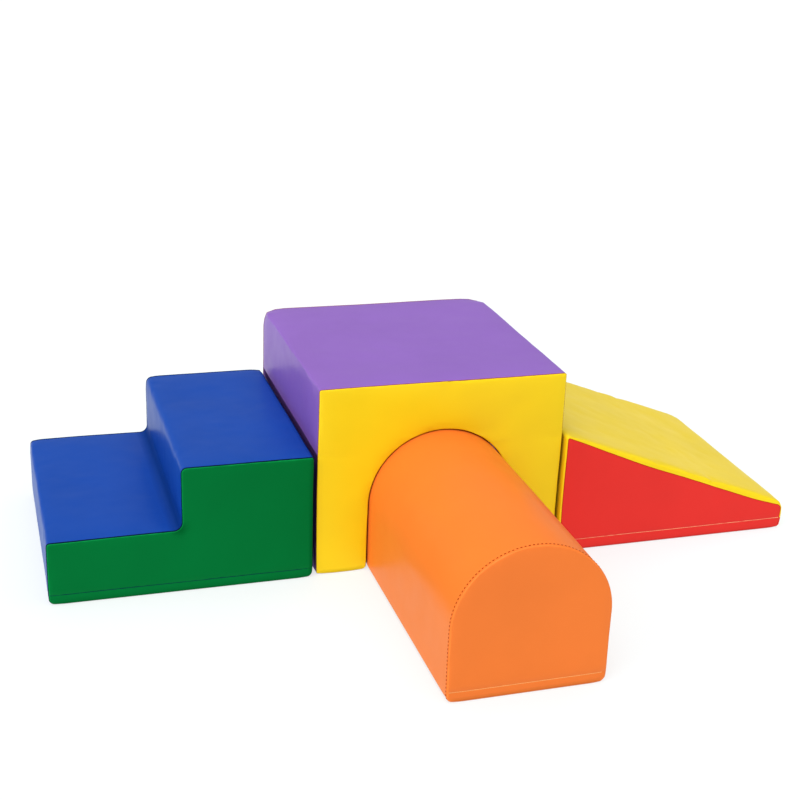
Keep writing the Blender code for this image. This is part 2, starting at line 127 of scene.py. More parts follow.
class Bench:
    """Short names for the modelling operators, as used by hand."""

    @staticmethod
    def clear() -> None:
        """Leaves edit mode and deselects every object."""
        if bpy.context.mode != "OBJECT":
            bpy.ops.object.mode_set(mode="OBJECT")
        bpy.ops.object.select_all(action="DESELECT")

    @staticmethod
    def take(obj: bpy.types.Object) -> None:
        """Makes one object the only selected and the active one.

        Args:
            obj: The object.
        """
        Bench.clear()
        obj.select_set(True)
        bpy.context.view_layer.objects.active = obj

    @staticmethod
    def edit(obj: bpy.types.Object) -> None:
        """Opens one object in edit mode."""
        Bench.take(obj)
        bpy.ops.object.mode_set(mode="EDIT")

    @staticmethod
    def done() -> None:
        """Goes back to object mode."""
        bpy.ops.object.mode_set(mode="OBJECT")

    @staticmethod
    def pick_all() -> None:
        """Selects the whole open mesh."""
        bpy.ops.mesh.select_all(action="SELECT")

    @staticmethod
    def pick(kind: Pick, test: Callable[[Any], bool]) -> int:
        """Selects the parts of the open mesh that pass a test.

        Args:
            kind: Vertices, edges or faces.
            test: Says whether a part is wanted.

        Returns:
            How many parts are selected.
        """
        mesh = bpy.context.edit_object.data
        bpy.ops.mesh.select_mode(type=kind.value)
        bpy.ops.mesh.select_all(action="DESELECT")
        shape = bmesh.from_edit_mesh(mesh)
        parts = {Pick.VERTS: shape.verts, Pick.EDGES: shape.edges, Pick.FACES: shape.faces}[kind]
        wanted = [part for part in parts if test(part)]
        for part in wanted:
            part.select_set(True)
        shape.select_flush_mode()
        bmesh.update_edit_mesh(mesh, loop_triangles=False, destructive=False)
        return len(wanted)

    @staticmethod
    def slice_all(axis: int, spots: Sequence[float], snap: float) -> None:
        """Bisects the whole open mesh at places along one axis.

        Args:
            axis: 0, 1 or 2 for X, Y or Z.
            spots: Where the cuts go.
            snap: A vertex this near a cut is used as it is, so that no sliver appears.
        """
        normal = [0.0, 0.0, 0.0]
        normal[axis] = 1.0
        for spot in spots:
            place = [0.0, 0.0, 0.0]
            place[axis] = spot
            Bench.pick_all()
            bpy.ops.mesh.bisect(plane_co=place, plane_no=normal, threshold=snap)

    @staticmethod
    def added(name: str, size: Vector | None = None) -> bpy.types.Object:
        """Names the primitive that was just added, and puts its place and size into its mesh.

        Args:
            name: The object's name.
            size: What a cube of 1 m is scaled to.

        Returns:
            The object, at the origin.
        """
        obj = bpy.context.object
        obj.name = name
        if size is not None:
            obj.scale = size
        bpy.ops.object.transform_apply(location=True, rotation=True, scale=True)
        return obj

    @staticmethod
    def joined(objects: Sequence[bpy.types.Object], name: str) -> bpy.types.Object:
        """Joins objects into one.

        Args:
            objects: The objects, at least one.
            name: The name of the result.

        Returns:
            The joined object.
        """
        Bench.clear()
        for obj in objects:
            obj.select_set(True)
        bpy.context.view_layer.objects.active = objects[0]
        if len(objects) > 1:
            bpy.ops.object.join()
        objects[0].name = name
        objects[0].data.name = name
        return objects[0]

    @staticmethod
    def apply_modifiers(obj: bpy.types.Object) -> None:
        """Applies every modifier of an object, in order.

        Args:
            obj: The object.
        """
        Bench.take(obj)
        for modifier in list(obj.modifiers):
            bpy.ops.object.modifier_apply(modifier=modifier.name)

    @staticmethod
    def smooth(obj: bpy.types.Object, degrees: float) -> None:
        """Shades an object smooth, with an edge wherever its faces meet at a larger angle."""
        Bench.take(obj)
        bpy.ops.object.shade_smooth_by_angle(angle=math.radians(degrees))

    @staticmethod
    def box(name: str, low: Vector, high: Vector) -> bpy.types.Object:
        """Adds a cube primitive at its size and place.

        Args:
            name: The object's name.
            low: Lowest corner.
            high: Highest corner.

        Returns:
            The box, with its place in its mesh.
        """
        Bench.clear()
        bpy.ops.mesh.primitive_cube_add(size=1.0, location=(low + high) / 2)
        return Bench.added(name, high - low)

    @staticmethod
    def repeat(obj: bpy.types.Object, pitch: float, count: int) -> None:
        """Repeats an object along X, with an Array modifier.

        Args:
            obj: The object.
            pitch: From one copy to the next.
            count: How many there are.
        """
        array = obj.modifiers.new("row", "ARRAY")
        array.use_relative_offset = False
        array.use_constant_offset = True
        array.constant_offset_displace = (pitch, 0, 0)
        array.count = count

    @staticmethod
    def coat(obj: bpy.types.Object, material: bpy.types.Material) -> None:
        """Gives an object its only material."""
        obj.data.materials.clear()
        obj.data.materials.append(material)

    @staticmethod
    def dress(obj: bpy.types.Object, material: bpy.types.Material, body: str, slot: str = "") -> None:
        """Gives a piece its only material and the body that it rides on.

        Args:
            obj: The piece.
            material: Its finish.
            body: The body that carries it.
            slot: Not used.
        """
        Bench.coat(obj, material)
        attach(obj, body)
        log.info("%s: %d faces, rides on %s", obj.name, len(obj.data.polygons), body)


class NodeDesk:
    """Builds one material's node tree."""

    def __init__(self, name: str) -> None:
        """Starts a material that holds only its Principled shader.

        Args:
            name: The material's name.
        """
        self.material = bpy.data.materials.new(name)
        self.material.use_nodes = True
        self.tree = self.material.node_tree
        self.shader = self.tree.nodes["Principled BSDF"]
        self.place = self.add("ShaderNodeTexCoord").outputs["Object"]

    def plug(self, socket: bpy.types.NodeSocket, value: Any) -> None:
        """Links a socket to another, or gives it a value.

        Args:
            socket: The input.
            value: A link or a value.
        """
        if isinstance(value, bpy.types.NodeSocket):
            self.tree.links.new(value, socket)
        else:
            socket.default_value = value

    def add(self, kind: str, settings: dict[str, Any] | None = None, **inputs: Any) -> bpy.types.Node:
        """Adds a node.

        Args:
            kind: Blender's name of the node.
            settings: Values of the node itself.
            **inputs: Values or links by input name, with _ for a space.

        Returns:
            The node.
        """
        node = self.tree.nodes.new(kind)
        for key, value in (settings or {}).items():
            setattr(node, key, value)
        for key, value in inputs.items():
            self.plug(node.inputs[key.replace("_", " ")], value)
        return node

    def set(self, **inputs: Any) -> None:
        """Sets or links the shader's own sockets, by name with _ for a space."""
        for key, value in inputs.items():
            self.plug(self.shader.inputs[key.replace("_", " ")], value)

    def noise(self, scale: float, detail: float = 2.0,
              stretch: Vector | None = None) -> bpy.types.NodeSocket:
        """Adds a noise pattern in Object coordinates.

        Args:
            scale: Waves to the metre, about.
            detail: How many finer octaves it has.
            stretch: How much each axis is scaled first.

        Returns:
            The pattern's value, 0 to 1.
        """
        place = self.place
        if stretch is not None:
            place = self.add("ShaderNodeMapping", Vector=place, Scale=stretch).outputs[0]
        return self.add("ShaderNodeTexNoise", Vector=place, Scale=scale, Detail=detail).outputs["Fac"]

    def cells(self, scale: float, randomness: float = 1.0, feature: str = "F1") -> bpy.types.NodeSocket:
        """Adds a cell pattern in Object coordinates.

        Args:
            scale: Cells to the metre, about.
            randomness: 0 for an even grid, 1 for scattered cells.
            feature: Blender's name of the Voronoi feature.

        Returns:
            The distance in the pattern.
        """
        node = self.add("ShaderNodeTexVoronoi", {"feature": feature}, Vector=self.place, Scale=scale,
                        Randomness=randomness)
        return node.outputs["Distance"]

    def span(self, value: bpy.types.NodeSocket, start: float, end: float, low: float,
             high: float) -> bpy.types.NodeSocket:
        """Maps a value from one range to another, clamped.

        Args:
            value: The value to map.
            start: Where the first range starts.
            end: Where it ends.
            low: What start becomes.
            high: What end becomes.

        Returns:
            The mapped value.
        """
        node = self.add("ShaderNodeMapRange", Value=value, From_Min=start, From_Max=end, To_Min=low,
                        To_Max=high)
        return node.outputs[0]

    def math(self, operation: str, first: Any, second: Any) -> bpy.types.NodeSocket:
        """Combines two values.

        Args:
            operation: Blender's name of the operation.
            first: A link or a number.
            second: A link or a number.

        Returns:
            The result.
        """
        node = self.add("ShaderNodeMath", {"operation": operation})
        for socket, value in zip(node.inputs, (first, second)):
            self.plug(socket, value)
        return node.outputs[0]

    def mix(self, share: bpy.types.NodeSocket, first: Any, second: Any) -> bpy.types.NodeSocket:
        """Mixes two colours.

        Args:
            share: 0 gives the first, 1 the second.
            first: A colour or a link.
            second: A colour or a link.

        Returns:
            The mixed colour.
        """
        node = self.add("ShaderNodeMix", {"data_type": "RGBA"})
        self.plug(node.inputs[0], share)
        for socket, value in ((node.inputs[6], first), (node.inputs[7], second)):
            self.plug(socket, value if isinstance(value, bpy.types.NodeSocket) else (*value, 1.0))
        return node.outputs[2]

    def bump(self, height: bpy.types.NodeSocket, strength: float, distance: float,
             under: bpy.types.NodeSocket | None = None) -> bpy.types.NodeSocket:
        """Adds a bump, on top of another where one is given.

        Args:
            height: The height pattern.
            strength: How much of the bump shows.
            distance: The height of 1 in the pattern, in metres.
            under: The normal of a bump below this one.

        Returns:
            The bent normal.
        """
        node = self.add("ShaderNodeBump", Strength=strength, Distance=distance, Height=height)
        if under is not None:
            self.plug(node.inputs["Normal"], under)
        return node.outputs[0]


def shade(colour: Colour, factor: float) -> Colour:
    """Returns a colour made lighter or darker by a factor."""
    return tuple(min(1.0, channel * factor) for channel in colour)


@dataclass(frozen=True)
class Finish:
    """A procedural finish: its name and its main colour."""

    name: str
    colour: Colour

    def make(self) -> bpy.types.Material:
        """Returns the finish as a material."""
        raise NotImplementedError


@dataclass(frozen=True)
class Vinyl(Finish):
    """Soft embossed PVC sheet: satin, finely grained, a little rubbed at its edges, with a painted
    highlight on its rolled edges and painted shade in its creases and gaps.
    """

    roughness: float = 0.36
    sheen_drift: float = 0.028
    grain: float = 0.05
    # how much lighter rubbed edges are: the lift is partly wear and partly a painted highlight
    rub_and_highlight_tint: float = 1.25
    gloss: float = 0.16

    def make(self) -> bpy.types.Material:
        """Builds the finish.

        Returns:
            The material.
        """
        desk = NodeDesk(self.name)
        cloud = desk.noise(7.0, 3.0)
        tone = desk.mix(desk.span(cloud, 0.35, 0.65, 0, 1), shade(self.colour, 0.975),
                        shade(self.colour, 1.02))
        # this attribute holds rub and painted light: above 0 rubbed edges with a painted highlight,
        # below 0 painted shade at the foot, in creases, gaps and the arch
        wear = desk.add("ShaderNodeAttribute", {"attribute_name": "wear"}).outputs["Fac"]
        # how much painted shade a point gets
        painted_shade = desk.span(wear, 0, -1, 0, 0.9)
        # painted shade: the colour darkens toward a near-black copy of itself
        tone = desk.mix(painted_shade, tone, shade(self.colour, 0.12))
        # rubbed edges, in patches: partly wear, partly a painted highlight
        patchy = desk.math("MULTIPLY", desk.span(wear, 0, 1, 0, 1),
                           desk.span(desk.noise(90.0, 3.0), 0.38, 0.6, 0.55, 1))
        lifted = tuple(min(1.0, channel * self.rub_and_highlight_tint + 0.005) for channel in self.colour)
        desk.set(Base_Color=desk.mix(patchy, tone, lifted))
        drift = desk.span(desk.noise(26.0, 4.0), 0.3, 0.7, self.roughness - self.sheen_drift,
                          self.roughness + self.sheen_drift)
        # where shade is painted, the vinyl is rougher
        desk.set(Roughness=desk.math("ADD", drift, desk.math("MULTIPLY", painted_shade, 0.4)))
        slack = desk.bump(desk.noise(11.0, 1.0), 0.18, 0.001)
        pebbles = desk.bump(desk.cells(950.0, feature="SMOOTH_F1"), self.grain, 0.00025, slack)
        desk.set(Normal=desk.bump(desk.noise(2600.0, 2.0), self.grain * 0.6, 0.0001, pebbles))
        # and where shade is painted, its sheen goes out
        desk.set(Specular_IOR_Level=desk.span(painted_shade, 0, 0.6, self.gloss, 0.0))
        return desk.material


@dataclass(frozen=True)
class Thread(Finish):
    """Twisted polyester sewing thread."""

    def make(self) -> bpy.types.Material:
        """Builds the finish.

        Returns:
            The material.
        """
        desk = NodeDesk(self.name)
        fibres = desk.noise(2400.0, 2.0)
        desk.set(Base_Color=desk.mix(fibres, shade(self.colour, 0.75), shade(self.colour, 1.2)),
                 Roughness=0.62, Specular_IOR_Level=0.05, Normal=desk.bump(fibres, 0.4, 0.0002))
        return desk.material


@dataclass(frozen=True)
class WovenTape(Finish):
    """Close herringbone weave of a zip's tape."""

    def make(self) -> bpy.types.Material:
        """Builds the finish.

        Returns:
            The material.
        """
        desk = NodeDesk(self.name)
        ribs = desk.add("ShaderNodeTexWave", {"bands_direction": "DIAGONAL"}, Vector=desk.place,
                        Scale=330.0, Distortion=0.6, Detail=1.0).outputs["Fac"]
        desk.set(Base_Color=desk.mix(ribs, shade(self.colour, 0.7), self.colour), Roughness=0.85,
                 Sheen_Weight=0.2, Normal=desk.bump(ribs, 0.5, 0.0003))
        return desk.material


@dataclass(frozen=True)
class ToothPlastic(Finish):
    """Moulded zip teeth."""

    def make(self) -> bpy.types.Material:
        """Builds the finish.

        Returns:
            The material.
        """
        desk = NodeDesk(self.name)
        speck = desk.noise(900.0, 2.0)
        desk.set(Base_Color=desk.mix(speck, shade(self.colour, 0.93), shade(self.colour, 1.05)),
                 Roughness=desk.span(speck, 0.3, 0.7, 0.28, 0.42), Normal=desk.bump(speck, 0.15, 0.0001))
        return desk.material


@dataclass(frozen=True)
class BrushedMetal(Finish):
    """Plated zinc with fine lengthways brushing."""

    def make(self) -> bpy.types.Material:
        """Builds the finish.

        Returns:
            The material.
        """
        desk = NodeDesk(self.name)
        lines = desk.noise(900.0, 3.0, Vector((0.06, 1.0, 1.0)))
        desk.set(Base_Color=desk.mix(lines, shade(self.colour, 0.85), self.colour), Metallic=1.0,
                 Roughness=desk.span(lines, 0.3, 0.7, 0.22, 0.38), Normal=desk.bump(lines, 0.2, 0.00008))
        return desk.material


@dataclass(frozen=True)
class GripSheet(Finish):
    """Dark sheet with raised rubber dots."""

    dots_per_metre: float = 190.0

    def make(self) -> bpy.types.Material:
        """Builds the finish.

        Returns:
            The material.
        """
        desk = NodeDesk(self.name)
        dots = desk.span(desk.cells(self.dots_per_metre, randomness=0.0), 0.22, 0.34, 1.0, 0.0)
        cloth = desk.bump(desk.noise(1800.0, 2.0), 0.4, 0.0002)
        desk.set(Base_Color=desk.mix(dots, self.colour, shade(self.colour, 2.2)),
                 Roughness=desk.span(dots, 0, 1, 0.9, 0.5), Normal=desk.bump(dots, 0.8, 0.0007, cloth))
        return desk.material


@dataclass(frozen=True)
class HookCloth(Finish):
    """Hook and loop fastener: stiff hooks in rows, or a felted loop face."""

    hooked: bool

    def make(self) -> bpy.types.Material:
        """Builds the finish.

        Returns:
            The material.
        """
        desk = NodeDesk(self.name)
        if self.hooked:
            pile = desk.cells(620.0, randomness=0.25)
            rough, height = 0.7, 0.0011
        else:
            pile = desk.noise(1500.0, 4.0)
            rough, height = 0.95, 0.0008
        desk.set(Base_Color=desk.mix(pile, shade(self.colour, 0.7), shade(self.colour, 1.9)),
                 Roughness=rough, Sheen_Weight=0.3, Normal=desk.bump(pile, 0.8, height))
        return desk.material


@dataclass(frozen=True)
class PaleFloor(Finish):
    """Smooth pale studio floor, lit a little from below as a light table is."""

    glow: float

    def make(self) -> bpy.types.Material:
        """Builds the finish.

        Returns:
            The material.
        """
        desk = NodeDesk(self.name)
        desk.set(Base_Color=(*self.colour, 1.0), Roughness=0.75, Specular_IOR_Level=0.1,
                 Emission_Color=(1, 1, 1, 1), Emission_Strength=self.glow)
        return desk.material


@dataclass(frozen=True)
class Corner:
    """A corner of an outline in the XZ plane, and the radius that rounds it."""

    x: float
    z: float
    radius: float = 0.0
    steps: int = 6


@dataclass(frozen=True)
class Outline:
    """A closed outline, clockwise as seen from the front, so that its left hand points out."""

    corners: tuple[Corner, ...]

    def ways(self, index: int) -> tuple[Vector, Vector]:
        """Finds how the outline runs at a corner.

        Args:
            index: The corner's place in the outline.

        Returns:
            The directions into and out of the corner.
        """
        here = self.corners[index]
        before, after = self.corners[index - 1], self.corners[(index + 1) % len(self.corners)]
        way_in = Vector((here.x - before.x, here.z - before.z)).normalized()
        way_out = Vector((after.x - here.x, after.z - here.z)).normalized()
        return way_in, way_out

    def turn(self, index: int) -> float:
        """Returns the angle that the outline turns by at a corner, positive to the left."""
        way_in, way_out = self.ways(index)
        return math.atan2(way_in.x * way_out.y - way_in.y * way_out.x, way_in.dot(way_out))

    def inset(self, distance: float) -> Outline:
        """Moves the whole outline inwards.

        Args:
            distance: How far each side moves. Below zero, it moves outwards.

        Returns:
            The new outline. Its corners keep their order.
        """
        moved = []
        for index, corner in enumerate(self.corners):
            way_in, way_out = self.ways(index)
            turn = self.turn(index)
            right_in, right_out = Vector((way_in.y, -way_in.x)), Vector((way_out.y, -way_out.x))
            spread = 1 + right_in.dot(right_out)
            shift = (right_in + right_out) * (distance / spread)
            grown = corner.radius + distance * (1 if turn > 0 else -1)
            radius = max(0.0, grown) if corner.radius else 0.0
            moved.append(replace(corner, x=corner.x + shift.x, z=corner.z + shift.y, radius=radius))
        return Outline(tuple(moved))

    def trace(self, name: str, y: float) -> bpy.types.Object:
        """Draws the outline by extruding one vertex from corner to corner, and rounds its corners.

        Args:
            name: The new object's name.
            y: Where the outline lies along Y.

        Returns:
            An object in edit mode that holds the outline as one face.
        """
        start = self.corners[0]
        Bench.clear()
        bpy.ops.mesh.primitive_plane_add(size=NEAR, location=(start.x, y, start.z))
        obj = Bench.added(name)
        bpy.ops.object.mode_set(mode="EDIT")
        bpy.ops.mesh.select_mode(type="VERT")
        Bench.pick_all()
        bpy.ops.mesh.merge(type="CENTER")
        for here, after in zip(self.corners, self.corners[1:]):
            step = (after.x - here.x, 0.0, after.z - here.z)
            bpy.ops.mesh.extrude_vertices_move(TRANSFORM_OT_translate={"value": step})
        Bench.pick_all()
        bpy.ops.mesh.edge_face_add()
        for index, corner in enumerate(self.corners):
            if not corner.radius:
                continue
            spot = Vector((corner.x, y, corner.z))
            Bench.pick(Pick.VERTS, lambda vert: (vert.co - spot).length < NEAR)
            bpy.ops.mesh.bevel(offset=corner.radius * math.tan(abs(self.turn(index)) / 2),
                               segments=corner.steps, affect="VERTICES", clamp_overlap=False)
        Bench.pick_all()
        bpy.ops.mesh.remove_doubles(threshold=NEAR)
        return obj

    def path(self, name: str, y: float, settle: Callable[[Vector], Vector],
             leave_out: Callable[[Vector], bool] = lambda middle: False) -> bpy.types.Object:
        """Makes the outline a curve, for a thread or a cord to follow.

        Args:
            name: The curve's name.
            y: Where it lies along Y.
            settle: Moves each point from its drawn place to where the cover really has it.
            leave_out: Says which edges are left out, by their middle.

        Returns:
            The curve object.
        """
        obj = self.trace(name, y)
        Bench.pick_all()
        bpy.ops.mesh.delete(type="ONLY_FACE")
        if Bench.pick(Pick.EDGES, lambda edge: leave_out((edge.verts[0].co + edge.verts[1].co) / 2)):
            bpy.ops.mesh.delete(type="EDGE")
        if Bench.pick(Pick.EDGES, lambda edge: edge.calc_length() > LONG_EDGE):
            bpy.ops.mesh.subdivide(number_cuts=LONG_EDGE_CUTS)
        Bench.done()
        for vert in obj.data.vertices:
            vert.co = settle(vert.co)
        bpy.ops.object.convert(target="CURVE")
        return bpy.context.object


@dataclass(frozen=True)
class Stitching:
    """A row of stitches that lies along a path."""

    pitch: float
    length: float
    thickness: float

    def stitch(self, name: str) -> bpy.types.Object:
        """Models one stitch, a bead of thread that dips in at both ends.

        Args:
            name: The object's name.

        Returns:
            The stitch, along X from the origin.
        """
        Bench.clear()
        bpy.ops.mesh.primitive_uv_sphere_add(segments=8, ring_count=6, radius=self.thickness / 2,
                                             rotation=(0, math.pi / 2, 0))
        obj = Bench.added(name)
        Bench.edit(obj)
        half = (self.length - self.thickness) / 2
        for side in (-1, 1):
            Bench.pick(Pick.VERTS, lambda vert: vert.co.x * side > NEAR)
            bpy.ops.transform.translate(value=(half * side, 0, 0))
        Bench.done()
        return obj

    def sew(self, name: str, path: bpy.types.Object) -> bpy.types.Object:
        """Repeats the stitch along a path, which is used up.

        Args:
            name: The row's name.
            path: The curve to follow.

        Returns:
            The row of stitches.
        """
        row = self.stitch(name)
        run = sum(spline.calc_length() for spline in path.data.splines)
        Bench.repeat(row, self.pitch, max(1, int(run / self.pitch)))
        follow = row.modifiers.new("seam", "CURVE")
        follow.object = path
        follow.deform_axis = "POS_X"
        Bench.apply_modifiers(row)
        bpy.data.objects.remove(path)
        Bench.smooth(row, 60)
        return row


HEM_STITCH = Stitching(0.0036, 0.0034, 0.0011)
EDGE_STITCH = Stitching(0.0058, 0.0031, 0.0017)
PATCH_STITCH = Stitching(0.0032, 0.0026, 0.0007)


def cord_along(name: str, path: bpy.types.Object, radius: float) -> bpy.types.Object:
    """Turns a path into a round cord that lies in a seam.

    Args:
        name: The cord's name.
        path: The curve to follow, which is used up.
        radius: The cord's radius.

    Returns:
        The cord as a mesh.
    """
    path.data.dimensions = "3D"
    path.data.bevel_depth = radius
    path.data.bevel_resolution = 1
    path.data.use_fill_caps = True
    Bench.take(path)
    bpy.ops.object.convert(target="MESH")
    obj = bpy.context.object
    obj.name = name
    Bench.smooth(obj, 60)
    return obj


class CoverPress:
    """Fills every shell like a tight cover over foam, all in one run of the cloth solver."""

    def __init__(self, frames: int = 18, pressure: float = 2.2) -> None:
        """Sets how long the covers are blown up, and how hard.

        Args:
            frames: How many frames the covers are blown up for.
            pressure: The pressure inside them.
        """
        self.frames = frames
        self.pressure = pressure
        self.shells: list[tuple[bpy.types.Object, float]] = []

    def add(self, shell: bpy.types.Object, most: float) -> None:
        """Takes a shell in.

        Args:
            shell: A closed shell with a vertex group named held.
            most: The furthest that a point may move, in metres.
        """
        self.shells.append((shell, most))

    def run(self) -> None:
        """Blows the shells up, limits each point's move and keeps the result in the meshes."""
        for shell, _ in self.shells:
            cloth = shell.modifiers.new("cover", "CLOTH")
            settings = cloth.settings
            settings.quality = 5
            settings.mass = 0.35
            settings.tension_stiffness = settings.compression_stiffness = 30
            settings.shear_stiffness = 12
            settings.bending_stiffness = 6
            settings.tension_damping = settings.compression_damping = 20
            settings.shear_damping = 20
            settings.bending_damping = 2
            settings.shrink_min = -0.0008
            settings.use_pressure = True
            settings.uniform_pressure_force = self.pressure
            settings.vertex_group_mass = "held"
            settings.pin_stiffness = 2.0
            settings.effector_weights.gravity = 0
            cloth.collision_settings.use_collision = False
            cloth.point_cache.frame_start, cloth.point_cache.frame_end = 1, self.frames
        for number in range(1, self.frames + 1):
            bpy.context.scene.frame_set(number)
        graph = bpy.context.evaluated_depsgraph_get()
        for shell, most in self.shells:
            settled = shell.evaluated_get(graph).to_mesh()
            spots = [vert.co.copy() for vert in settled.vertices]
            shell.evaluated_get(graph).to_mesh_clear()
            shell.modifiers.clear()
            furthest = 0.0
            for vert, spot in zip(shell.data.vertices, spots):
                move = spot - vert.co
                furthest = max(furthest, move.length)
                vert.co += move.normalized() * most * (1 - math.exp(-move.length / most))
            log.info("%s: cover settled, furthest %.2f mm", shell.name, furthest * 1000)
        bpy.context.scene.frame_set(1)


@dataclass
class Zip:
    """A closed zip in a back panel: tapes, teeth and end stops."""

    block: str
    tape_colour: Colour
    skin: float = 0.0004
    tape_drop: float = 0.0015
    tape_end: float = 0.001
    tape_spans: int = 40
    tooth_pitch: float = 0.0024
    tooth_width: float = 0.0011
    tooth_length: float = 0.0028
    tooth_root: float = 0.0003
    tooth_head: float = 0.0009
    tooth_edge: float = 0.0002
    head_flare: tuple[float, float, float] = (1.35, 0.9, 1.0)
    first_tooth: float = 0.0023
    stop_width: float = 0.0012
    stop_margin: float = 0.0006
    stop_rise: float = 0.0003

    def place(self) -> tuple[float, float, float, float]:
        """Finds the chain.

        Returns:
            Where it starts and ends along X, its middle in Z, and the face's Y.
        """
        low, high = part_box(f"{self.block}_zip_tape_upper")
        lower_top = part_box(f"{self.block}_zip_tape_lower")[1].z
        return low.x, high.x, (low.z + lower_top) / 2, high.y - self.skin

    def tooth(self, name: str) -> bpy.types.Object:
        """Models one tooth: a leg that grips the tape and a wider head past the middle.

        Args:
            name: The object's name.

        Returns:
            The tooth at the chain's start, pointing down.
        """
        start, _, middle, face_y = self.place()
        low = Vector((start + self.first_tooth, face_y - self.tape_drop, middle + self.tooth_root))
        high = Vector((low.x + self.tooth_width, face_y + self.skin, middle + self.tooth_length))
        tooth = Bench.box(name, low, high)
        Bench.edit(tooth)
        Bench.pick(Pick.FACES, lambda face: face.normal.z < -FACING)
        bpy.ops.mesh.extrude_region_move(TRANSFORM_OT_translate={"value": (0, 0, -self.tooth_head)})
        bpy.ops.transform.resize(value=self.head_flare)
        Bench.pick_all()
        bpy.ops.mesh.bevel(offset=self.tooth_edge, segments=1, affect="EDGES")
        Bench.done()
        return tooth

    def build(self) -> None:
        """Builds the zip over the frame's tapes, and gives its slider and pull tab their metal."""
        start, end, middle, face_y = self.place()
        weave = WovenTape(f"{self.block}_tape_weave", self.tape_colour).make()
        plastic = ToothPlastic(f"{self.block}_tooth_plastic", shade(self.tape_colour, 0.9)).make()
        for word in ("upper", "lower"):
            node = f"{self.block}_zip_tape_{word}"
            low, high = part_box(node)
            tape = Bench.box(f"{self.block}_zip_cloth_{word}",
                             Vector((start - self.tape_end, low.y, low.z)),
                             Vector((end + self.tape_end, face_y - self.tape_drop, high.z)))
            Bench.edit(tape)
            Bench.slice_all(0, [start + (end - start) * step / self.tape_spans
                                for step in range(1, self.tape_spans)], NEAR)
            Bench.done()
            teeth = self.tooth(f"{self.block}_teeth_{word}")
            if word == "lower":
                Bench.edit(teeth)
                Bench.pick_all()
                bpy.ops.transform.mirror(constraint_axis=(False, False, True),
                                         center_override=(0, 0, middle))
                bpy.ops.transform.translate(value=(self.tooth_pitch / 2, 0, 0))
                bpy.ops.mesh.normals_make_consistent(inside=False)
                Bench.done()
            run = end - start - 2 * self.first_tooth
            Bench.repeat(teeth, self.tooth_pitch, int(run / self.tooth_pitch))
            Bench.apply_modifiers(teeth)
            Bench.smooth(teeth, 30)
            Bench.dress(teeth, plastic, self.block, "zip_tape")
            Bench.smooth(tape, 30)
            Bench.dress(tape, weave, self.block, "zip_tape")
            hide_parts(node)
        self.stops(start, end, middle, face_y)
        metal = BrushedMetal(f"{self.block}_zip_metal_finish", srgb(196, 198, 202)).make()
        for node in (f"{self.block}_zip_slider", f"{self.block}_zip_pull"):
            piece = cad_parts[node]
            Bench.coat(piece, metal)

    def stops(self, start: float, end: float, middle: float, face_y: float) -> None:
        """Clamps a metal stop round each end of the chain.

        Args:
            start: Where the chain starts along X.
            end: Where it ends.
            middle: The chain's height.
            face_y: The panel's outside.
        """
        ends = []
        for number, x in enumerate((start + self.stop_margin, end - self.stop_margin - self.stop_width)):
            low = Vector((x, face_y - self.tape_drop, middle - self.tooth_length))
            high = Vector((x + self.stop_width, face_y + self.stop_rise, middle + self.tooth_length))
            stop = Bench.box(f"{self.block}_stop_{number}", low, high)
            Bench.edit(stop)
            Bench.pick_all()
            bpy.ops.mesh.bevel(offset=self.stop_rise, segments=2, affect="EDGES")
            Bench.done()
            ends.append(stop)
        stops = Bench.joined(ends, f"{self.block}_zip_end_stops")
        Bench.smooth(stops, 40)
        metal = BrushedMetal(f"{self.block}_stop_metal", srgb(186, 188, 192)).make()
        Bench.dress(stops, metal, self.block, "zip_metal")


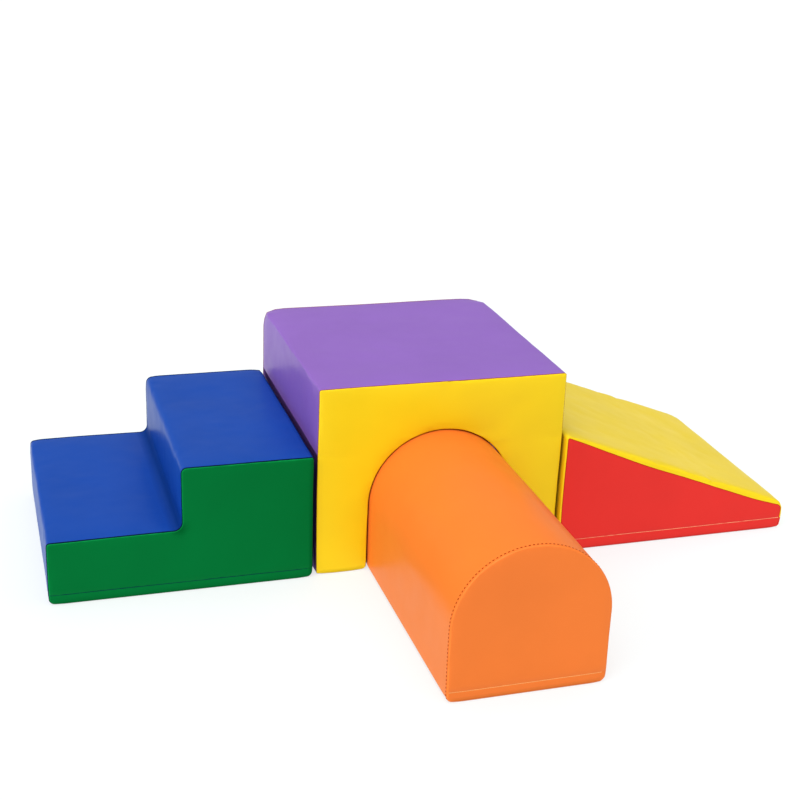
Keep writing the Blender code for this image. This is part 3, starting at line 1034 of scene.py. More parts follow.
@dataclass
class HookPatch:
    """A stitched patch of hook or loop fastener on the side of a block."""

    node: str
    body: str
    hooked: bool
    corner: float = 0.004
    margin: float = 0.0028
    root: float = 0.0013
    groove: float = 0.0009
    groove_depth: float = 0.0007
    thread_sink: float = 0.0006
    left_zone: float = 0.1

    def build(self) -> None:
        """Builds the patch in its CAD node's place, with its row of stitches."""
        low, high = (Vector(corner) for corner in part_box(self.node))
        block_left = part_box(f"{self.body}_foam_core")[0].x
        out = 1.0 if (low.x + high.x) / 2 > block_left + self.left_zone else -1.0
        if out > 0:
            low.x -= self.root
        else:
            high.x += self.root
        patch = Bench.box(self.node + "_patch", low, high)
        Bench.edit(patch)
        Bench.pick(Pick.EDGES, lambda edge: abs((edge.verts[0].co - edge.verts[1].co).x) > NEAR)
        bpy.ops.mesh.bevel(offset=self.corner, segments=4, affect="EDGES")
        Bench.pick(Pick.FACES, lambda face: face.normal.x * out > FACING)
        bpy.ops.mesh.inset(thickness=self.margin, depth=0.0)
        for depth in (-self.groove_depth, self.groove_depth):
            bpy.ops.mesh.inset(thickness=self.groove, depth=depth)
        Bench.done()
        Bench.smooth(patch, 40)
        kind = "hook" if self.hooked else "loop"
        pile = HookCloth(f"{self.node}_{kind}_pile", (0.018, 0.018, 0.021), self.hooked).make()
        Bench.dress(patch, pile, self.body, "hook_and_loop")
        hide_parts(self.node)
        self.sew(low, high, (high.x if out > 0 else low.x) - out * self.thread_sink)

    def sew(self, low: Vector, high: Vector, x: float) -> None:
        """Sews round the patch, in the groove near its edge.

        Args:
            low: The patch's lowest corner.
            high: Its highest corner.
            x: Where the thread lies along X.
        """
        reach = self.margin + self.groove
        near, far, bottom, top = low.y + reach, high.y - reach, low.z + reach, high.z - reach
        square = Outline(tuple(Corner(y, z, self.corner / 2, 3)
                               for y, z in ((near, bottom), (near, top), (far, top), (far, bottom))))
        thread = PATCH_STITCH.sew(self.node + "_stitches", square.path("patch_path", 0.0, Vector))
        Bench.edit(thread)
        Bench.pick_all()
        bpy.ops.transform.rotate(value=math.pi / 2, orient_axis="Z", center_override=(0, 0, 0))
        Bench.done()
        turned = sum(vert.co.y for vert in thread.data.vertices) < 0
        Bench.edit(thread)
        Bench.pick_all()
        if turned:
            bpy.ops.transform.rotate(value=math.pi, orient_axis="Z", center_override=(0, 0, 0))
        bpy.ops.transform.translate(value=(x, 0, 0))
        Bench.done()
        Bench.dress(thread, Thread(self.node + "_thread", (0.03, 0.03, 0.034)).make(), self.body)


@dataclass
class FoamBlock:
    """One foam block in its sewn cover. Sizes follow the CAD model."""

    name: str
    wrap_finish: Vinyl
    panel_finish: Vinyl
    wrap_slot: str
    panel_slot: str
    seam_colour: Colour
    roll: float = 0.0024
    overlap: float = 0.0
    seam: SeamPlace = SeamPlace.BEHIND_ROLL
    draw: float = 0.0008
    stand: float = 0.0005
    tuck: float = 0.004
    sheet: float = 0.0012
    lip: float = 0.0009
    lip_angle: float = 1.0
    cell: float = 0.0085
    snap_share: float = 0.16
    most: float = 0.0022
    unevenness: float = 0.0009
    drift_scale: float = 8.0
    ripple_scale: float = 31.0
    ripple_share: float = 0.22
    snug_left: float = 0.0
    snug_right: float = 0.0
    snug_reach: float = 0.03
    foot_draw: float = 0.0022
    front_draw: float = 0.0006
    back_draw: float = 0.0036
    draw_reach: float = 0.024
    low_zone: float = 0.01
    back_zone: float = 0.01
    round_corner: float = 0.03
    hem_height: float = 0.0165
    hem_colour: Colour | None = None
    hem_cut: float = 0.0011
    hem_margin: float = 0.004
    hem_loop: float = 0.003
    hem_flare: float = 0.75
    ray_start: float = 0.05
    groove: float = 0.0009
    groove_depth: float = 0.0006
    stitch_colour: Colour | None = None
    stitch_back: float = 0.0022
    stitch_sink: float = 0.0001
    # this thick, in the steps' dark colour, the cord is partly the seam's thread and partly stands in
    # for the shade in its groove
    cord_radius: float = 0.0016
    cord_sink: float = 0.62
    cord_back: float = 0.0002
    window_half: float = 0.0048
    window_calm: float = 0.008
    window_fade: float = 0.03
    calm_height: float = 0.03
    foot: float = 0.008
    foot_held: float = 0.004
    foot_drop: float = 0.0007
    foot_reach: float = 0.02
    flare: float = 0.003
    flare_depth: float = 0.02
    flare_height: float = 0.07
    # painted shade along the foot, where the cover meets the floor: strength and height
    foot_shade: float = 0.85
    shade_height: float = 0.0042
    # gain of the rub on rolled edges, which also paints a highlight there
    rub_and_highlight_gain: float = 3.4
    # painted shade in a gap between blocks: width, fade and level at its edge
    gap_margin: float = 0.005
    gap_fade: float = 0.02
    gap_level: float = 1.2
    close_cuts: tuple[float, ...] = ()
    loose_hold: float = 0.12
    side_hold: float = 0.9
    arch_hold: float = 0.985
    touch: float = 0.002
    low: Vector = field(init=False)
    high: Vector = field(init=False)
    place: Vector = field(init=False)
    depth: float = field(init=False)
    corners_drawn: list[tuple[Vector, Vector]] = field(init=False)
    window_edges: tuple[float, float, float, float] = field(init=False)
    shell: bpy.types.Object | None = field(init=False, default=None)

    def __post_init__(self) -> None:
        """Reads the block's place and depth from its CAD nodes."""
        self.low, self.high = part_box(f"{self.name}_wrap_cover")
        front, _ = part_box(f"{self.name}_front_panel")
        _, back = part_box(f"{self.name}_back_panel")
        self.place = Vector((self.low.x, front.y, 0.0))
        self.depth = back.y - front.y
        self.corners_drawn = self.soft_corners()
        tape_low, tape_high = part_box(f"{self.name}_zip_tape_upper")
        middle = (tape_low.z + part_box(f"{self.name}_zip_tape_lower")[1].z) / 2
        half = self.window_half
        self.window_edges = (tape_low.x, tape_high.x, middle - half, middle + half)

    @property
    def ends(self) -> tuple[float, float]:
        """Returns where the front and the back of the block lie along Y."""
        return self.place.y, self.place.y + self.depth

    def outline(self) -> Outline:
        """Returns the block's outline, in the frame's X and Z."""
        raise NotImplementedError

    def tucks(self) -> list[tuple[float, float]]:
        """Returns the stretches along X where a base sheet covers the underside."""
        reach = self.foot + self.tuck
        return [(self.low.x + reach, self.high.x - reach)]

    def held(self, spot: Vector, normal: Vector) -> float:
        """Says how firmly a point of the cover is held, from 0 to 1.

        Args:
            spot: The point.
            normal: Which way the cover faces there.

        Returns:
            1 where it can't move, as at the foot.
        """
        return 1.0 if spot.z < self.foot_held else self.held_above(spot, normal)

    def held_above(self, spot: Vector, normal: Vector) -> float:
        """Returns how firmly a point above the foot is held; see held."""
        return self.loose_hold

    def make_shell(self) -> None:
        """Models the closed shell: outline, depth, rolled edges and an even grid of faces."""
        obj = self.outline().inset(self.draw).trace(f"{self.name}_shell", self.place.y)
        Bench.pick_all()
        bpy.ops.mesh.extrude_region_move(TRANSFORM_OT_translate={"value": (0, self.depth, 0)})
        Bench.pick_all()
        bpy.ops.mesh.normals_make_consistent(inside=False)
        Bench.pick(Pick.EDGES, lambda edge: abs(edge.verts[0].co.y - edge.verts[1].co.y) < NEAR)
        bpy.ops.mesh.bevel(offset=self.roll, segments=5, affect="EDGES", clamp_overlap=False)
        if self.overlap:
            self.turn_over()
        self.slice_shell()
        Bench.done()
        self.shell = obj

    def turn_over(self) -> None:
        """Marks the margin of both end faces that the wrap turns over."""
        Bench.pick(Pick.FACES, lambda face: abs(face.normal.y) > FLAT)
        bpy.ops.mesh.inset(thickness=self.overlap, depth=0.0)
        shape = bmesh.from_edit_mesh(bpy.context.edit_object.data)
        for face in shape.faces:
            if abs(face.normal.y) > FLAT and not face.select:
                face.material_index = TURNED

    def slice_shell(self) -> None:
        """Cuts the open shell into a grid, with closer cuts beside the hem and the zip's window."""
        snap = self.cell * self.snap_share
        spans = ((0, self.low.x, self.high.x), (2, self.low.z, self.high.z), (1, *self.ends))
        for axis, low, high in spans:
            count = round((high - low) / self.cell)
            Bench.slice_all(axis, [low + (high - low) * step / count for step in range(1, count)], snap)
        if self.hem_colour is not None:
            Bench.slice_all(2, [self.hem_height + step * self.hem_cut for step in (-1, 0, 1)], SNAP)
        Bench.slice_all(2, self.close_cuts, SNAP)
        left, right, bottom, top = self.window_edges
        Bench.slice_all(2, [bottom, top], SNAP)
        Bench.slice_all(0, [left, right], SNAP)

    def off_window(self, spot: Vector) -> float:
        """Says how far from the zip a point lies.

        Args:
            spot: A point of the cover.

        Returns:
            0 round the zip, where the panel stays put, up to 1 about 40 mm away.
        """
        if spot.y < self.ends[1] - self.back_zone:
            return 1.0
        left, right, bottom, top = self.window_edges
        away = max(left - spot.x, spot.x - right, bottom - spot.z, spot.z - top, 0.0)
        return clamp((away - self.window_calm) / self.window_fade)

    def cover_of(self, face: bmesh.types.BMFace) -> Cover:
        """Says which part of the cover a face of the shell belongs to.

        Args:
            face: A face of the open shell.

        Returns:
            The part.
        """
        middle = face.calc_center_median()
        y0, y1 = self.ends
        from_end = min(middle.y - y0, y1 - middle.y)
        panel = Cover.FRONT if middle.y < (y0 + y1) / 2 else Cover.BACK
        underneath = middle.z < self.low.z + self.draw + CLOSE
        if underneath and from_end > self.roll and any(a < middle.x < b for a, b in self.tucks()):
            return Cover.BASE
        left, right, bottom, top = self.window_edges
        if y1 - middle.y < NEAR and left < middle.x < right and bottom < middle.z < top:
            return Cover.BASE
        if self.seam is SeamPlace.BEHIND_ROLL:
            return panel if from_end < self.roll else Cover.WRAP
        flat = abs(face.normal.y) > FLAT and face.material_index != TURNED
        margin = self.low.z + self.draw + self.roll + self.overlap
        below = from_end < self.roll and middle.z < margin + CLOSE and any(
            a - self.tuck < middle.x < b + self.tuck for a, b in self.tucks())
        return panel if flat or below else Cover.WRAP

    def mark_covers(self) -> None:
        """Gives each part of the cover its own material slot on the shell."""
        for cover in Cover:
            mark = bpy.data.materials.new(f"{self.name}_{cover.name.lower()}_mark")
            self.shell.data.materials.append(mark)
        Bench.edit(self.shell)
        for cover in list(Cover)[1:]:
            if Bench.pick(Pick.FACES, lambda face: self.cover_of(face) is cover):
                self.shell.active_material_index = cover.value
                bpy.ops.object.material_slot_assign()
        if Bench.pick(Pick.FACES, lambda face: face.material_index == TURNED):
            self.shell.active_material_index = Cover.WRAP.value
            bpy.ops.object.material_slot_assign()
        Bench.done()

    def mark_held(self) -> None:
        """Weights the vertices by how firmly the cover is held there."""
        group = self.shell.vertex_groups.new(name="held")
        seams = self.seam_points()
        for vert in self.shell.data.vertices:
            loose = (1 - self.held(vert.co, vert.normal)) * self.off_window(vert.co)
            group.add([vert.index], 1.0 if vert.index in seams else 1 - loose, "REPLACE")

    def seam_points(self) -> set[int]:
        """Finds where two parts of the cover meet.

        Returns:
            The indices of the shell's vertices there.
        """
        kinds: dict[int, set[int]] = {}
        for face in self.shell.data.polygons:
            for index in face.vertices:
                kinds.setdefault(index, set()).add(face.material_index)
        return {index for index, found in kinds.items() if len(found) > 1}

    def wander(self, spot: Vector) -> Vector:
        """Returns how far hand-cut foam and hand-fed seams lie from their drawn place.

        Args:
            spot: A point of the drawn cover.

        Returns:
            The move, smooth from point to point and none at the floor or the zip.
        """
        calm = clamp(spot.z / self.calm_height) * self.off_window(spot)
        drift = [noise.noise(spot * self.drift_scale + Vector((seed, 2.7 * seed, 7.3)))
                 for seed in (1.9, 5.3, 8.7)]
        ripple = [noise.noise(spot * self.ripple_scale + Vector((seed, 1.3, 4.1 * seed)))
                  for seed in (2.3, 6.1, 9.7)]
        return (Vector(drift) + Vector(ripple) * self.ripple_share) * (self.unevenness * calm)

    def soft_corners(self) -> list[tuple[Vector, Vector]]:
        """Finds the corners that the cover draws in.

        Returns:
            Each corner's point, and its move at the most.
        """
        found = []
        outline = self.outline()
        for index, corner in enumerate(outline.corners):
            if outline.turn(index) > 0 or corner.radius > self.round_corner:
                continue
            way_in, way_out = outline.ways(index)
            inward = Vector((way_in.y + way_out.y, 0.0, -way_in.x - way_out.x)).normalized()
            for y, side, draw in zip(self.ends, (1.0, -1.0), (self.front_draw, self.back_draw)):
                most = self.foot_draw if corner.z < self.low_zone else draw
                move = (inward + Vector((0, side, 0))).normalized() * most
                found.append((Vector((corner.x, y, corner.z)), move))
        return found

    def settle(self, spot: Vector) -> Vector:
        """Returns where a point of the drawn cover really lies.

        Args:
            spot: The drawn point.

        Returns:
            The point on the sewn cover.
        """
        moved = spot + self.wander(spot)
        moved.z -= self.foot_drop * fade(spot.z, self.foot_reach)
        front = fade(max(0.0, spot.y - self.place.y - self.roll), self.flare_depth)
        moved.y -= self.flare * front * fade(spot.z, self.flare_height)
        moved.x -= self.snug_left * fade(spot.x - self.low.x, self.snug_reach)
        moved.x += self.snug_right * fade(self.high.x - spot.x, self.snug_reach)
        for corner, most in self.corners_drawn:
            near = 1 - (spot - corner).length / self.draw_reach
            if near > 0:
                moved += most * near * near
        return moved

    def shade_painted_at(self, spot: Vector) -> float:
        """Returns how much painted shade a point gets, from 0 to 1."""
        return 0.0

    def gap_shade(self, from_side: float, from_edge: float) -> float:
        """Returns the shade painted on the cover in the gap between two blocks.

        Args:
            from_side: How far a point lies from the side that faces the gap.
            from_edge: How far down the gap, or along it from the front, it lies.

        Returns:
            0 to 1, fading deeper down, where nothing shows.
        """
        return fade(from_side, self.gap_margin) * clamp(self.gap_level - from_edge / self.gap_fade)

    def at_toe(self, spot: Vector) -> bool:
        """Says whether a point lies at a toe, where the wrap isn't rolled over."""
        return False

    def store_rub_and_painted_light(self, piece: bpy.types.Object) -> None:
        """Stores each point's rub and painted light: up to 1 on rubbed edges, which carry a painted
        highlight, down to -1 where shade is painted.

        Args:
            piece: A finished piece of the cover.
        """
        wear = piece.data.attributes.new("wear", "FLOAT", "POINT")
        values = []
        for vert in piece.data.vertices:
            across = 1 - max(abs(vert.normal.y), math.hypot(vert.normal.x, vert.normal.z))
            # painted shade: a dark line along the foot, where the cover meets the floor
            foot = self.foot_shade * fade(vert.co.z, self.shade_height)
            # rolled edges get the rub and painted highlight; the foot, creases and gaps get painted
            # shade
            values.append(min(1.0, across * self.rub_and_highlight_gain) * (1 - foot) - max(foot, self.shade_painted_at(vert.co)))
        wear.data.foreach_set("value", values)

    def cut_apart(self) -> dict[Cover, bpy.types.Object]:
        """Cuts the settled shell into the parts of the cover.

        Returns:
            Each part by its place. The underside is thrown away, because the base sheets cover it.
        """
        Bench.edit(self.shell)
        Bench.pick_all()
        bpy.ops.mesh.separate(type="MATERIAL")
        Bench.done()
        found: dict[Cover, bpy.types.Object] = {}
        for obj in list(bpy.context.selected_objects):
            marks = obj.data.materials
            mark = marks[obj.data.polygons[0].material_index if len(marks) > 1 else 0].name
            cover = next(part for part in Cover if part.name.lower() in mark)
            if cover is Cover.BASE:
                bpy.data.objects.remove(obj)
            else:
                found[cover] = obj
        return found

    def finish_cover(self, cover: Cover, piece: bpy.types.Object) -> None:
        """Gives a part of the cover its thickness, its turned edge, its finish and its place.

        Args:
            cover: Which part it is.
            piece: The open sheet.
        """
        piece.name = f"{self.name}_{cover.name.lower()}_vinyl"
        piece.data.name = piece.name
        outside = len(piece.data.vertices)
        solid = piece.modifiers.new("sheet", "SOLIDIFY")
        solid.thickness = self.sheet
        solid.offset = -1.0
        solid.use_even_offset = True
        Bench.apply_modifiers(piece)
        Bench.edit(piece)
        Bench.pick(Pick.EDGES, lambda edge: max(vert.index for vert in edge.verts) < outside
                   and len(edge.link_faces) == 2 and edge.calc_face_angle() > self.lip_angle)
        bpy.ops.mesh.bevel(offset=self.lip, segments=3, affect="EDGES", clamp_overlap=True)
        Bench.done()
        self.store_rub_and_painted_light(piece)
        Bench.smooth(piece, 50)
        wraps = cover in (Cover.WRAP, Cover.LINING)
        finish = self.wrap_finish if wraps else self.panel_finish
        slot = self.wrap_slot if wraps else self.panel_slot
        Bench.dress(piece, finish.make(), self.name, slot)
        node = {Cover.WRAP: "wrap_cover", Cover.FRONT: "front_panel", Cover.BACK: "back_panel",
                Cover.LINING: "lining"}[cover]
        nodes = [f"{self.name}_{node}"] + ([f"{self.name}_foam_core"] if cover is Cover.WRAP else [])
        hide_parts(*nodes)

    def seam_outline(self) -> tuple[Outline, float]:
        """Finds the line that the seam follows.

        Returns:
            The line, and how far behind the end face it lies.
        """
        sunk = self.cord_radius * self.cord_sink
        if self.seam is SeamPlace.BEHIND_ROLL:
            return self.outline().inset(self.draw + sunk), self.roll + self.cord_back
        return self.outline().inset(self.draw + self.roll + self.overlap), sunk

    def sew_seams(self) -> None:
        """Lays the seam's thread in the groove between wrap and panels, front and back."""
        outline, back_by = self.seam_outline()
        y0, y1 = self.ends[0] + back_by, self.ends[1] - back_by
        floor_line = -1.0
        if self.seam is SeamPlace.ON_FACE:
            floor_line = self.low.z + self.stand + self.draw + self.roll + self.overlap + CLOSE * 2
        cords = []
        for y, word in ((y0, "front"), (y1, "back")):
            path = outline.path("seam_path", y, self.settle,
                                lambda middle: middle.z < floor_line or self.at_toe(middle))
            cords.append(cord_along(f"{self.name}_cord_{word}", path, self.cord_radius))
        seam = Bench.joined(cords, f"{self.name}_seam_thread")
        Bench.dress(seam, Thread(f"{self.name}_seam_twist", self.seam_colour).make(), self.name)
        if self.stitch_colour is None:
            return
        proud = self.outline().inset(self.draw + self.stitch_sink)
        rows = []
        for y, word in ((y0 + self.stitch_back, "front"), (y1 - self.stitch_back, "back")):
            path = proud.path("stitch_path", y, self.settle,
                              lambda middle: middle.z < self.low.z + self.foot_held)
            rows.append(EDGE_STITCH.sew(f"{self.name}_stitches_{word}", path))
        stitches = Bench.joined(rows, f"{self.name}_seam_stitches")
        Bench.dress(stitches, Thread(f"{self.name}_stitch_twist", self.stitch_colour).make(), self.name)

    def sew_hem(self, panel: bpy.types.Object) -> None:
        """Sews the topstitched hem across the front panel.

        Args:
            panel: The finished front panel.
        """
        if self.hem_colour is None:
            return
        left, right = self.hem_run()
        y = self.place.y

        def on_panel(spot: Vector) -> Vector:
            """Returns the point of the panel's outside that lies behind a point."""
            start = Vector((spot.x, y - self.ray_start, spot.z))
            hit, found, _, _ = panel.ray_cast(start, Vector((0, 1, 0)))
            depth = found.y + self.stitch_sink if hit else y - self.flare * self.hem_flare
            return Vector((spot.x, depth, spot.z))

        under = self.hem_height - self.hem_loop
        line = Outline((Corner(left, self.hem_height), Corner(right, self.hem_height),
                        Corner(right, under), Corner(left, under)))
        path = line.path("hem_path", y, on_panel, lambda middle: middle.z < self.hem_height - NEAR)
        hem = HEM_STITCH.sew(f"{self.name}_hem_stitches", path)
        Bench.dress(hem, Thread(f"{self.name}_hem_twist", self.hem_colour).make(), self.name)

    def hem_run(self) -> tuple[float, float]:
        """Returns where the hem's thread starts and ends along X."""
        return self.low.x + self.hem_margin, self.high.x - self.hem_margin

    def groove_hem(self, piece: bpy.types.Object) -> None:
        """Presses the hem's line a little into the front panel.

        Args:
            piece: The front panel.
        """
        if self.hem_colour is None:
            return
        for vert in piece.data.vertices:
            off = abs(vert.co.z - self.hem_height)
            if off < self.groove:
                vert.co.y += self.groove_depth * (1 - off / self.groove)

    def grip(self) -> None:
        """Gives the base sheets their dotted finish."""
        sheets = [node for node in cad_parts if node.startswith(f"{self.name}_base")]
        for node in sheets:
            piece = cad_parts[node]
            Bench.coat(piece, GripSheet(f"{node}_dots", (0.022, 0.022, 0.025)).make())

    def start(self, press: CoverPress) -> None:
        """Models the shell and hands it to the press.

        Args:
            press: The press that fills all the covers.
        """
        self.make_shell()
        self.mark_covers()
        self.mark_held()
        press.add(self.shell, self.most)

    def complete(self) -> None:
        """Cuts, finishes and sews the cover once the press has run."""
        for vert in self.shell.data.vertices:
            vert.co = self.settle(vert.co)
        pieces = self.cut_apart()
        self.groove_hem(pieces[Cover.FRONT])
        for cover, piece in pieces.items():
            self.finish_cover(cover, piece)
        self.sew_seams()
        self.sew_hem(pieces[Cover.FRONT])
        self.grip()


@dataclass
class StepsBlock(FoamBlock):
    """The two steps."""

    lower_tread: float = 0.198
    lower_height: float = 0.102
    upper_height: float = 0.203
    low_nose: float = 0.0058
    nose: float = 0.0088
    inner: float = 0.012
    side_edge: float = 0.004
    # painted shade in the inner corner: strength, shift of its centre and reach
    painted_shade: float = 0.62
    crease_shift: float = 0.004
    crease_reach: float = 0.015
    inner_reach: float = 0.02
    inner_hold: float = 0.6

    def outline(self) -> Outline:
        """Draws the two steps.

        Returns:
            The outline.
        """
        left, right = self.low.x, self.high.x
        middle = left + self.lower_tread
        return Outline((
            Corner(left, self.stand, self.foot),
            Corner(left, self.lower_height, self.low_nose),
            Corner(middle, self.lower_height, self.inner),
            Corner(middle, self.upper_height, self.nose),
            Corner(right, self.upper_height, self.side_edge),
            Corner(right, self.stand, self.foot),
        ))

    def shade_painted_at(self, spot: Vector) -> float:
        """Paints shade into the inner corner and the gap to the tunnel; see the base block's method.

        Args:
            spot: A point of the cover.

        Returns:
            How much painted shade it gets, from 0 to 1.
        """
        away = math.hypot(spot.x - self.low.x - self.lower_tread + self.crease_shift,
                          spot.z - self.lower_height - self.crease_shift)
        from_edge = min(self.upper_height - spot.z, spot.y - self.place.y)
        # painted shade in the inner corner, and on the right side in the gap to the tunnel
        return max(self.painted_shade * fade(away, self.crease_reach),
                   self.gap_shade(self.high.x - spot.x, from_edge))

    def held_above(self, spot: Vector, normal: Vector) -> float:
        """Holds the side against the tunnel and the inner corner; see FoamBlock.held_above.

        Args:
            spot: The point.
            normal: Not used.

        Returns:
            How firmly it is held.
        """
        if spot.x > self.high.x - self.touch:
            return self.side_hold
        inner = Vector((self.low.x + self.lower_tread, self.lower_height))
        near_inner = (Vector((spot.x, spot.z)) - inner).length < self.inner_reach
        return self.inner_hold if near_inner else self.loose_hold


@dataclass
class TunnelBlock(FoamBlock):
    """The tall block with the arch through it."""

    arch: float = 0.234
    arch_height: float = 0.228
    top: float = 0.004
    foot: float = 0.006
    foot_edge: float = 0.0032
    arch_foot: float = 0.006
    # painted shade round the arch, inside its rim: rim, strength, fade and level at the front
    arch_rim: float = 0.003
    arch_shade: float = 0.85
    arch_fade: float = 0.022
    arch_level: float = 1.4
    lining_reach: float = 0.004
    held_height: float = 0.21
    # where painted shade starts behind the front
    hidden_from: float = 0.0015
    shade_from: float = 0.002
    # painted gap shade on the left side stops at this height; the close cuts give it a sharp top edge
    beside_height: float = 0.2005
    close_cuts: tuple[float, ...] = (0.1996, 0.2014)

    @property
    def arch_run(self) -> tuple[float, float]:
        """Returns the arch's middle along X and half of its width."""
        return (self.low.x + self.high.x) / 2, self.arch / 2

    def outline(self) -> Outline:
        """Draws round the outside and back through the arch.

        Returns:
            The outline.
        """
        left, right = self.low.x, self.high.x
        centre, half = self.arch_run
        return Outline((
            Corner(left, self.stand, self.foot_edge),
            Corner(left, self.high.z, self.top),
            Corner(right, self.high.z, self.top),
            Corner(right, self.stand, self.foot_edge),
            Corner(centre + half, self.stand, self.arch_foot),
            Corner(centre + half, self.arch_height, half, 24),
            Corner(centre - half, self.arch_height, half, 24),
            Corner(centre - half, self.stand, self.arch_foot),
        ))

    def tucks(self) -> list[tuple[float, float]]:
        """Finds the stretches that the two base sheets cover.

        Returns:
            Both, along X.
        """
        centre, half = self.arch_run
        outer, inner = self.foot + self.tuck, self.arch_foot + self.tuck
        return [(self.low.x + outer, centre - half - inner),
                (centre + half + inner, self.high.x - outer)]

    def cover_of(self, face: bmesh.types.BMFace) -> Cover:
        """Tells the lining from the wrap; see FoamBlock.cover_of.

        Args:
            face: A face of the open shell.

        Returns:
            The part.
        """
        cover = super().cover_of(face)
        middle = face.calc_center_median()
        centre, half = self.arch_run
        beside = abs(middle.x - centre) < half + self.arch_foot + self.tuck
        inside = beside and middle.z < self.arch_height + self.lining_reach
        return Cover.LINING if cover is Cover.WRAP and inside else cover

    def shade_painted_at(self, spot: Vector) -> float:
        """Paints shade into the arch and the gap to the steps; see the base block's method.

        Args:
            spot: A point of the cover.

        Returns:
            How much painted shade it gets, from 0 to 1.
        """
        centre, half = self.arch_run
        from_front = spot.y - self.place.y - self.shade_from
        if from_front < self.hidden_from - self.shade_from:
            return 0.0
        rise = max(0.0, spot.z - self.arch_height + half)
        # painted shade round the arch's lining, behind the front
        if math.hypot(spot.x - centre, rise) < half + self.arch_rim:
            return min(self.arch_shade, max(0.0, self.arch_level - from_front / self.arch_fade))
        # below the steps' top, painted shade on the left side in the gap to the steps
        if spot.z > self.beside_height:
            return 0.0
        return self.gap_shade(spot.x - self.low.x, min(self.beside_height - spot.z, from_front))

    def held_above(self, spot: Vector, normal: Vector) -> float:
        """Holds the sides against the other blocks and the lining; see FoamBlock.held_above.

        Args:
            spot: The point.
            normal: Which way the cover faces there.

        Returns:
            How firmly it is held.
        """
        centre, half = self.arch_run
        if min(spot.x - self.low.x, self.high.x - spot.x) < self.touch and spot.z < self.held_height:
            return self.side_hold
        in_arch = abs(spot.x - centre) < half + self.touch and spot.z < self.arch_height + self.touch
        return self.arch_hold if in_arch and abs(normal.y) < SLANT else self.loose_hold


@dataclass
class SlideBlock(FoamBlock):
    """The wedge whose wrap rolls over its edges."""

    height: float = 0.2052
    crest: float = 0.0062
    toe_height: float = 0.0462
    toe: float = 0.0135
    toe_lean: float = 0.003
    foot: float = 0.0105
    toe_foot: float = 0.0055
    length: float = 0.416
    skew: float = 0.008
    roll_growth: float = 2.1
    grown_at: float = 0.36
    toe_growth: float = 0.45
    toe_fade: float = 0.1
    toe_squeeze: float = 0.62
    toe_zone: float = 0.03
    behind_fade: float = 0.03
    face_fade: float = 0.012
    even_out: float = 0.034
    hem_start: float = 0.001
    hem_end: float = 0.0025

    def outline(self) -> Outline:
        """Draws the wedge.

        Returns:
            The outline.
        """
        left = self.low.x
        toe = left + self.length
        return Outline((
            Corner(left, self.stand, self.foot),
            Corner(left, self.height, self.crest),
            Corner(toe, self.toe_height, self.toe),
            Corner(toe - self.toe_lean, self.stand, self.toe_foot),
        ))

    def tucks(self) -> list[tuple[float, float]]:
        """Returns the stretch that the base sheet covers."""
        reach = self.foot + self.tuck
        return [(self.low.x + reach, self.low.x + self.length - self.toe_lean - reach)]

    def hem_run(self) -> tuple[float, float]:
        """Returns where the hem's thread starts and ends along X."""
        return self.low.x + self.roll + self.overlap + self.hem_start, self.high.x - self.hem_end

    def cover_of(self, face: bmesh.types.BMFace) -> Cover:
        """Ends the rolled wrap at the toe's hem; see FoamBlock.cover_of.

        Args:
            face: A face of the open shell.

        Returns:
            The part.
        """
        cover = super().cover_of(face)
        middle = face.calc_center_median()
        from_front, from_back = middle.y - self.ends[0], self.ends[1] - middle.y
        if cover is Cover.WRAP and min(from_front, from_back) < self.roll and self.at_toe(middle):
            return Cover.FRONT if from_front < from_back else Cover.BACK
        return cover

    def at_toe(self, spot: Vector) -> bool:
        """Says whether a point lies at the toe, below the hem."""
        return spot.x > self.low.x + self.length - self.toe_zone and spot.z < self.hem_height

    def settle(self, spot: Vector) -> Vector:
        """Widens the rolled edge toward the toe before the rest; see FoamBlock.settle.

        Args:
            spot: The drawn point.

        Returns:
            The point on the sewn cover.
        """
        along = clamp((spot.x - self.low.x) / self.length)
        fall = Vector((self.length, self.toe_height - self.height)).normalized()
        below = (self.height - spot.z) * fall.x - (spot.x - self.low.x) * -fall.y
        behind = min(spot.y - self.ends[0], self.ends[1] - spot.y)
        from_toe = self.low.x + self.length - spot.x
        toe_end = min(1.0, self.toe_growth + max(0.0, from_toe) / self.toe_fade)
        wide = 1 + self.roll_growth * min(1.0, along / self.grown_at) * toe_end
        new_below = self.stretched(below, wide, fade(behind, self.behind_fade))
        moved = spot + Vector((fall.y, 0.0, -fall.x)) * (new_below - below)
        moved.x += self.skew * along ** 3 * (spot.y - self.place.y) / self.depth
        near_face = fade(max(0.0, behind - self.roll), self.face_fade)
        moved.x -= self.stretched(from_toe, self.toe_squeeze, near_face) - from_toe
        return super().settle(moved)

    def stretched(self, away: float, factor: float, share: float) -> float:
        """Stretches or squeezes the rolled edge, and evens the change out behind it.

        Args:
            away: A point's distance from the edge.
            factor: How much wider the roll becomes.
            share: How much of the change the point gets.

        Returns:
            The new distance.
        """
        far, reach = self.even_out, self.roll + self.overlap
        if away <= 0 or away >= far:
            return away
        if away < reach:
            new = away * factor
        else:
            new = reach * factor + (away - reach) * (far - reach * factor) / (far - reach)
        return away + (new - away) * share

    def held_above(self, spot: Vector, normal: Vector) -> float:
        """Holds the side against the tunnel; see FoamBlock.held_above."""
        return self.side_hold if spot.x < self.low.x + self.touch else self.loose_hold


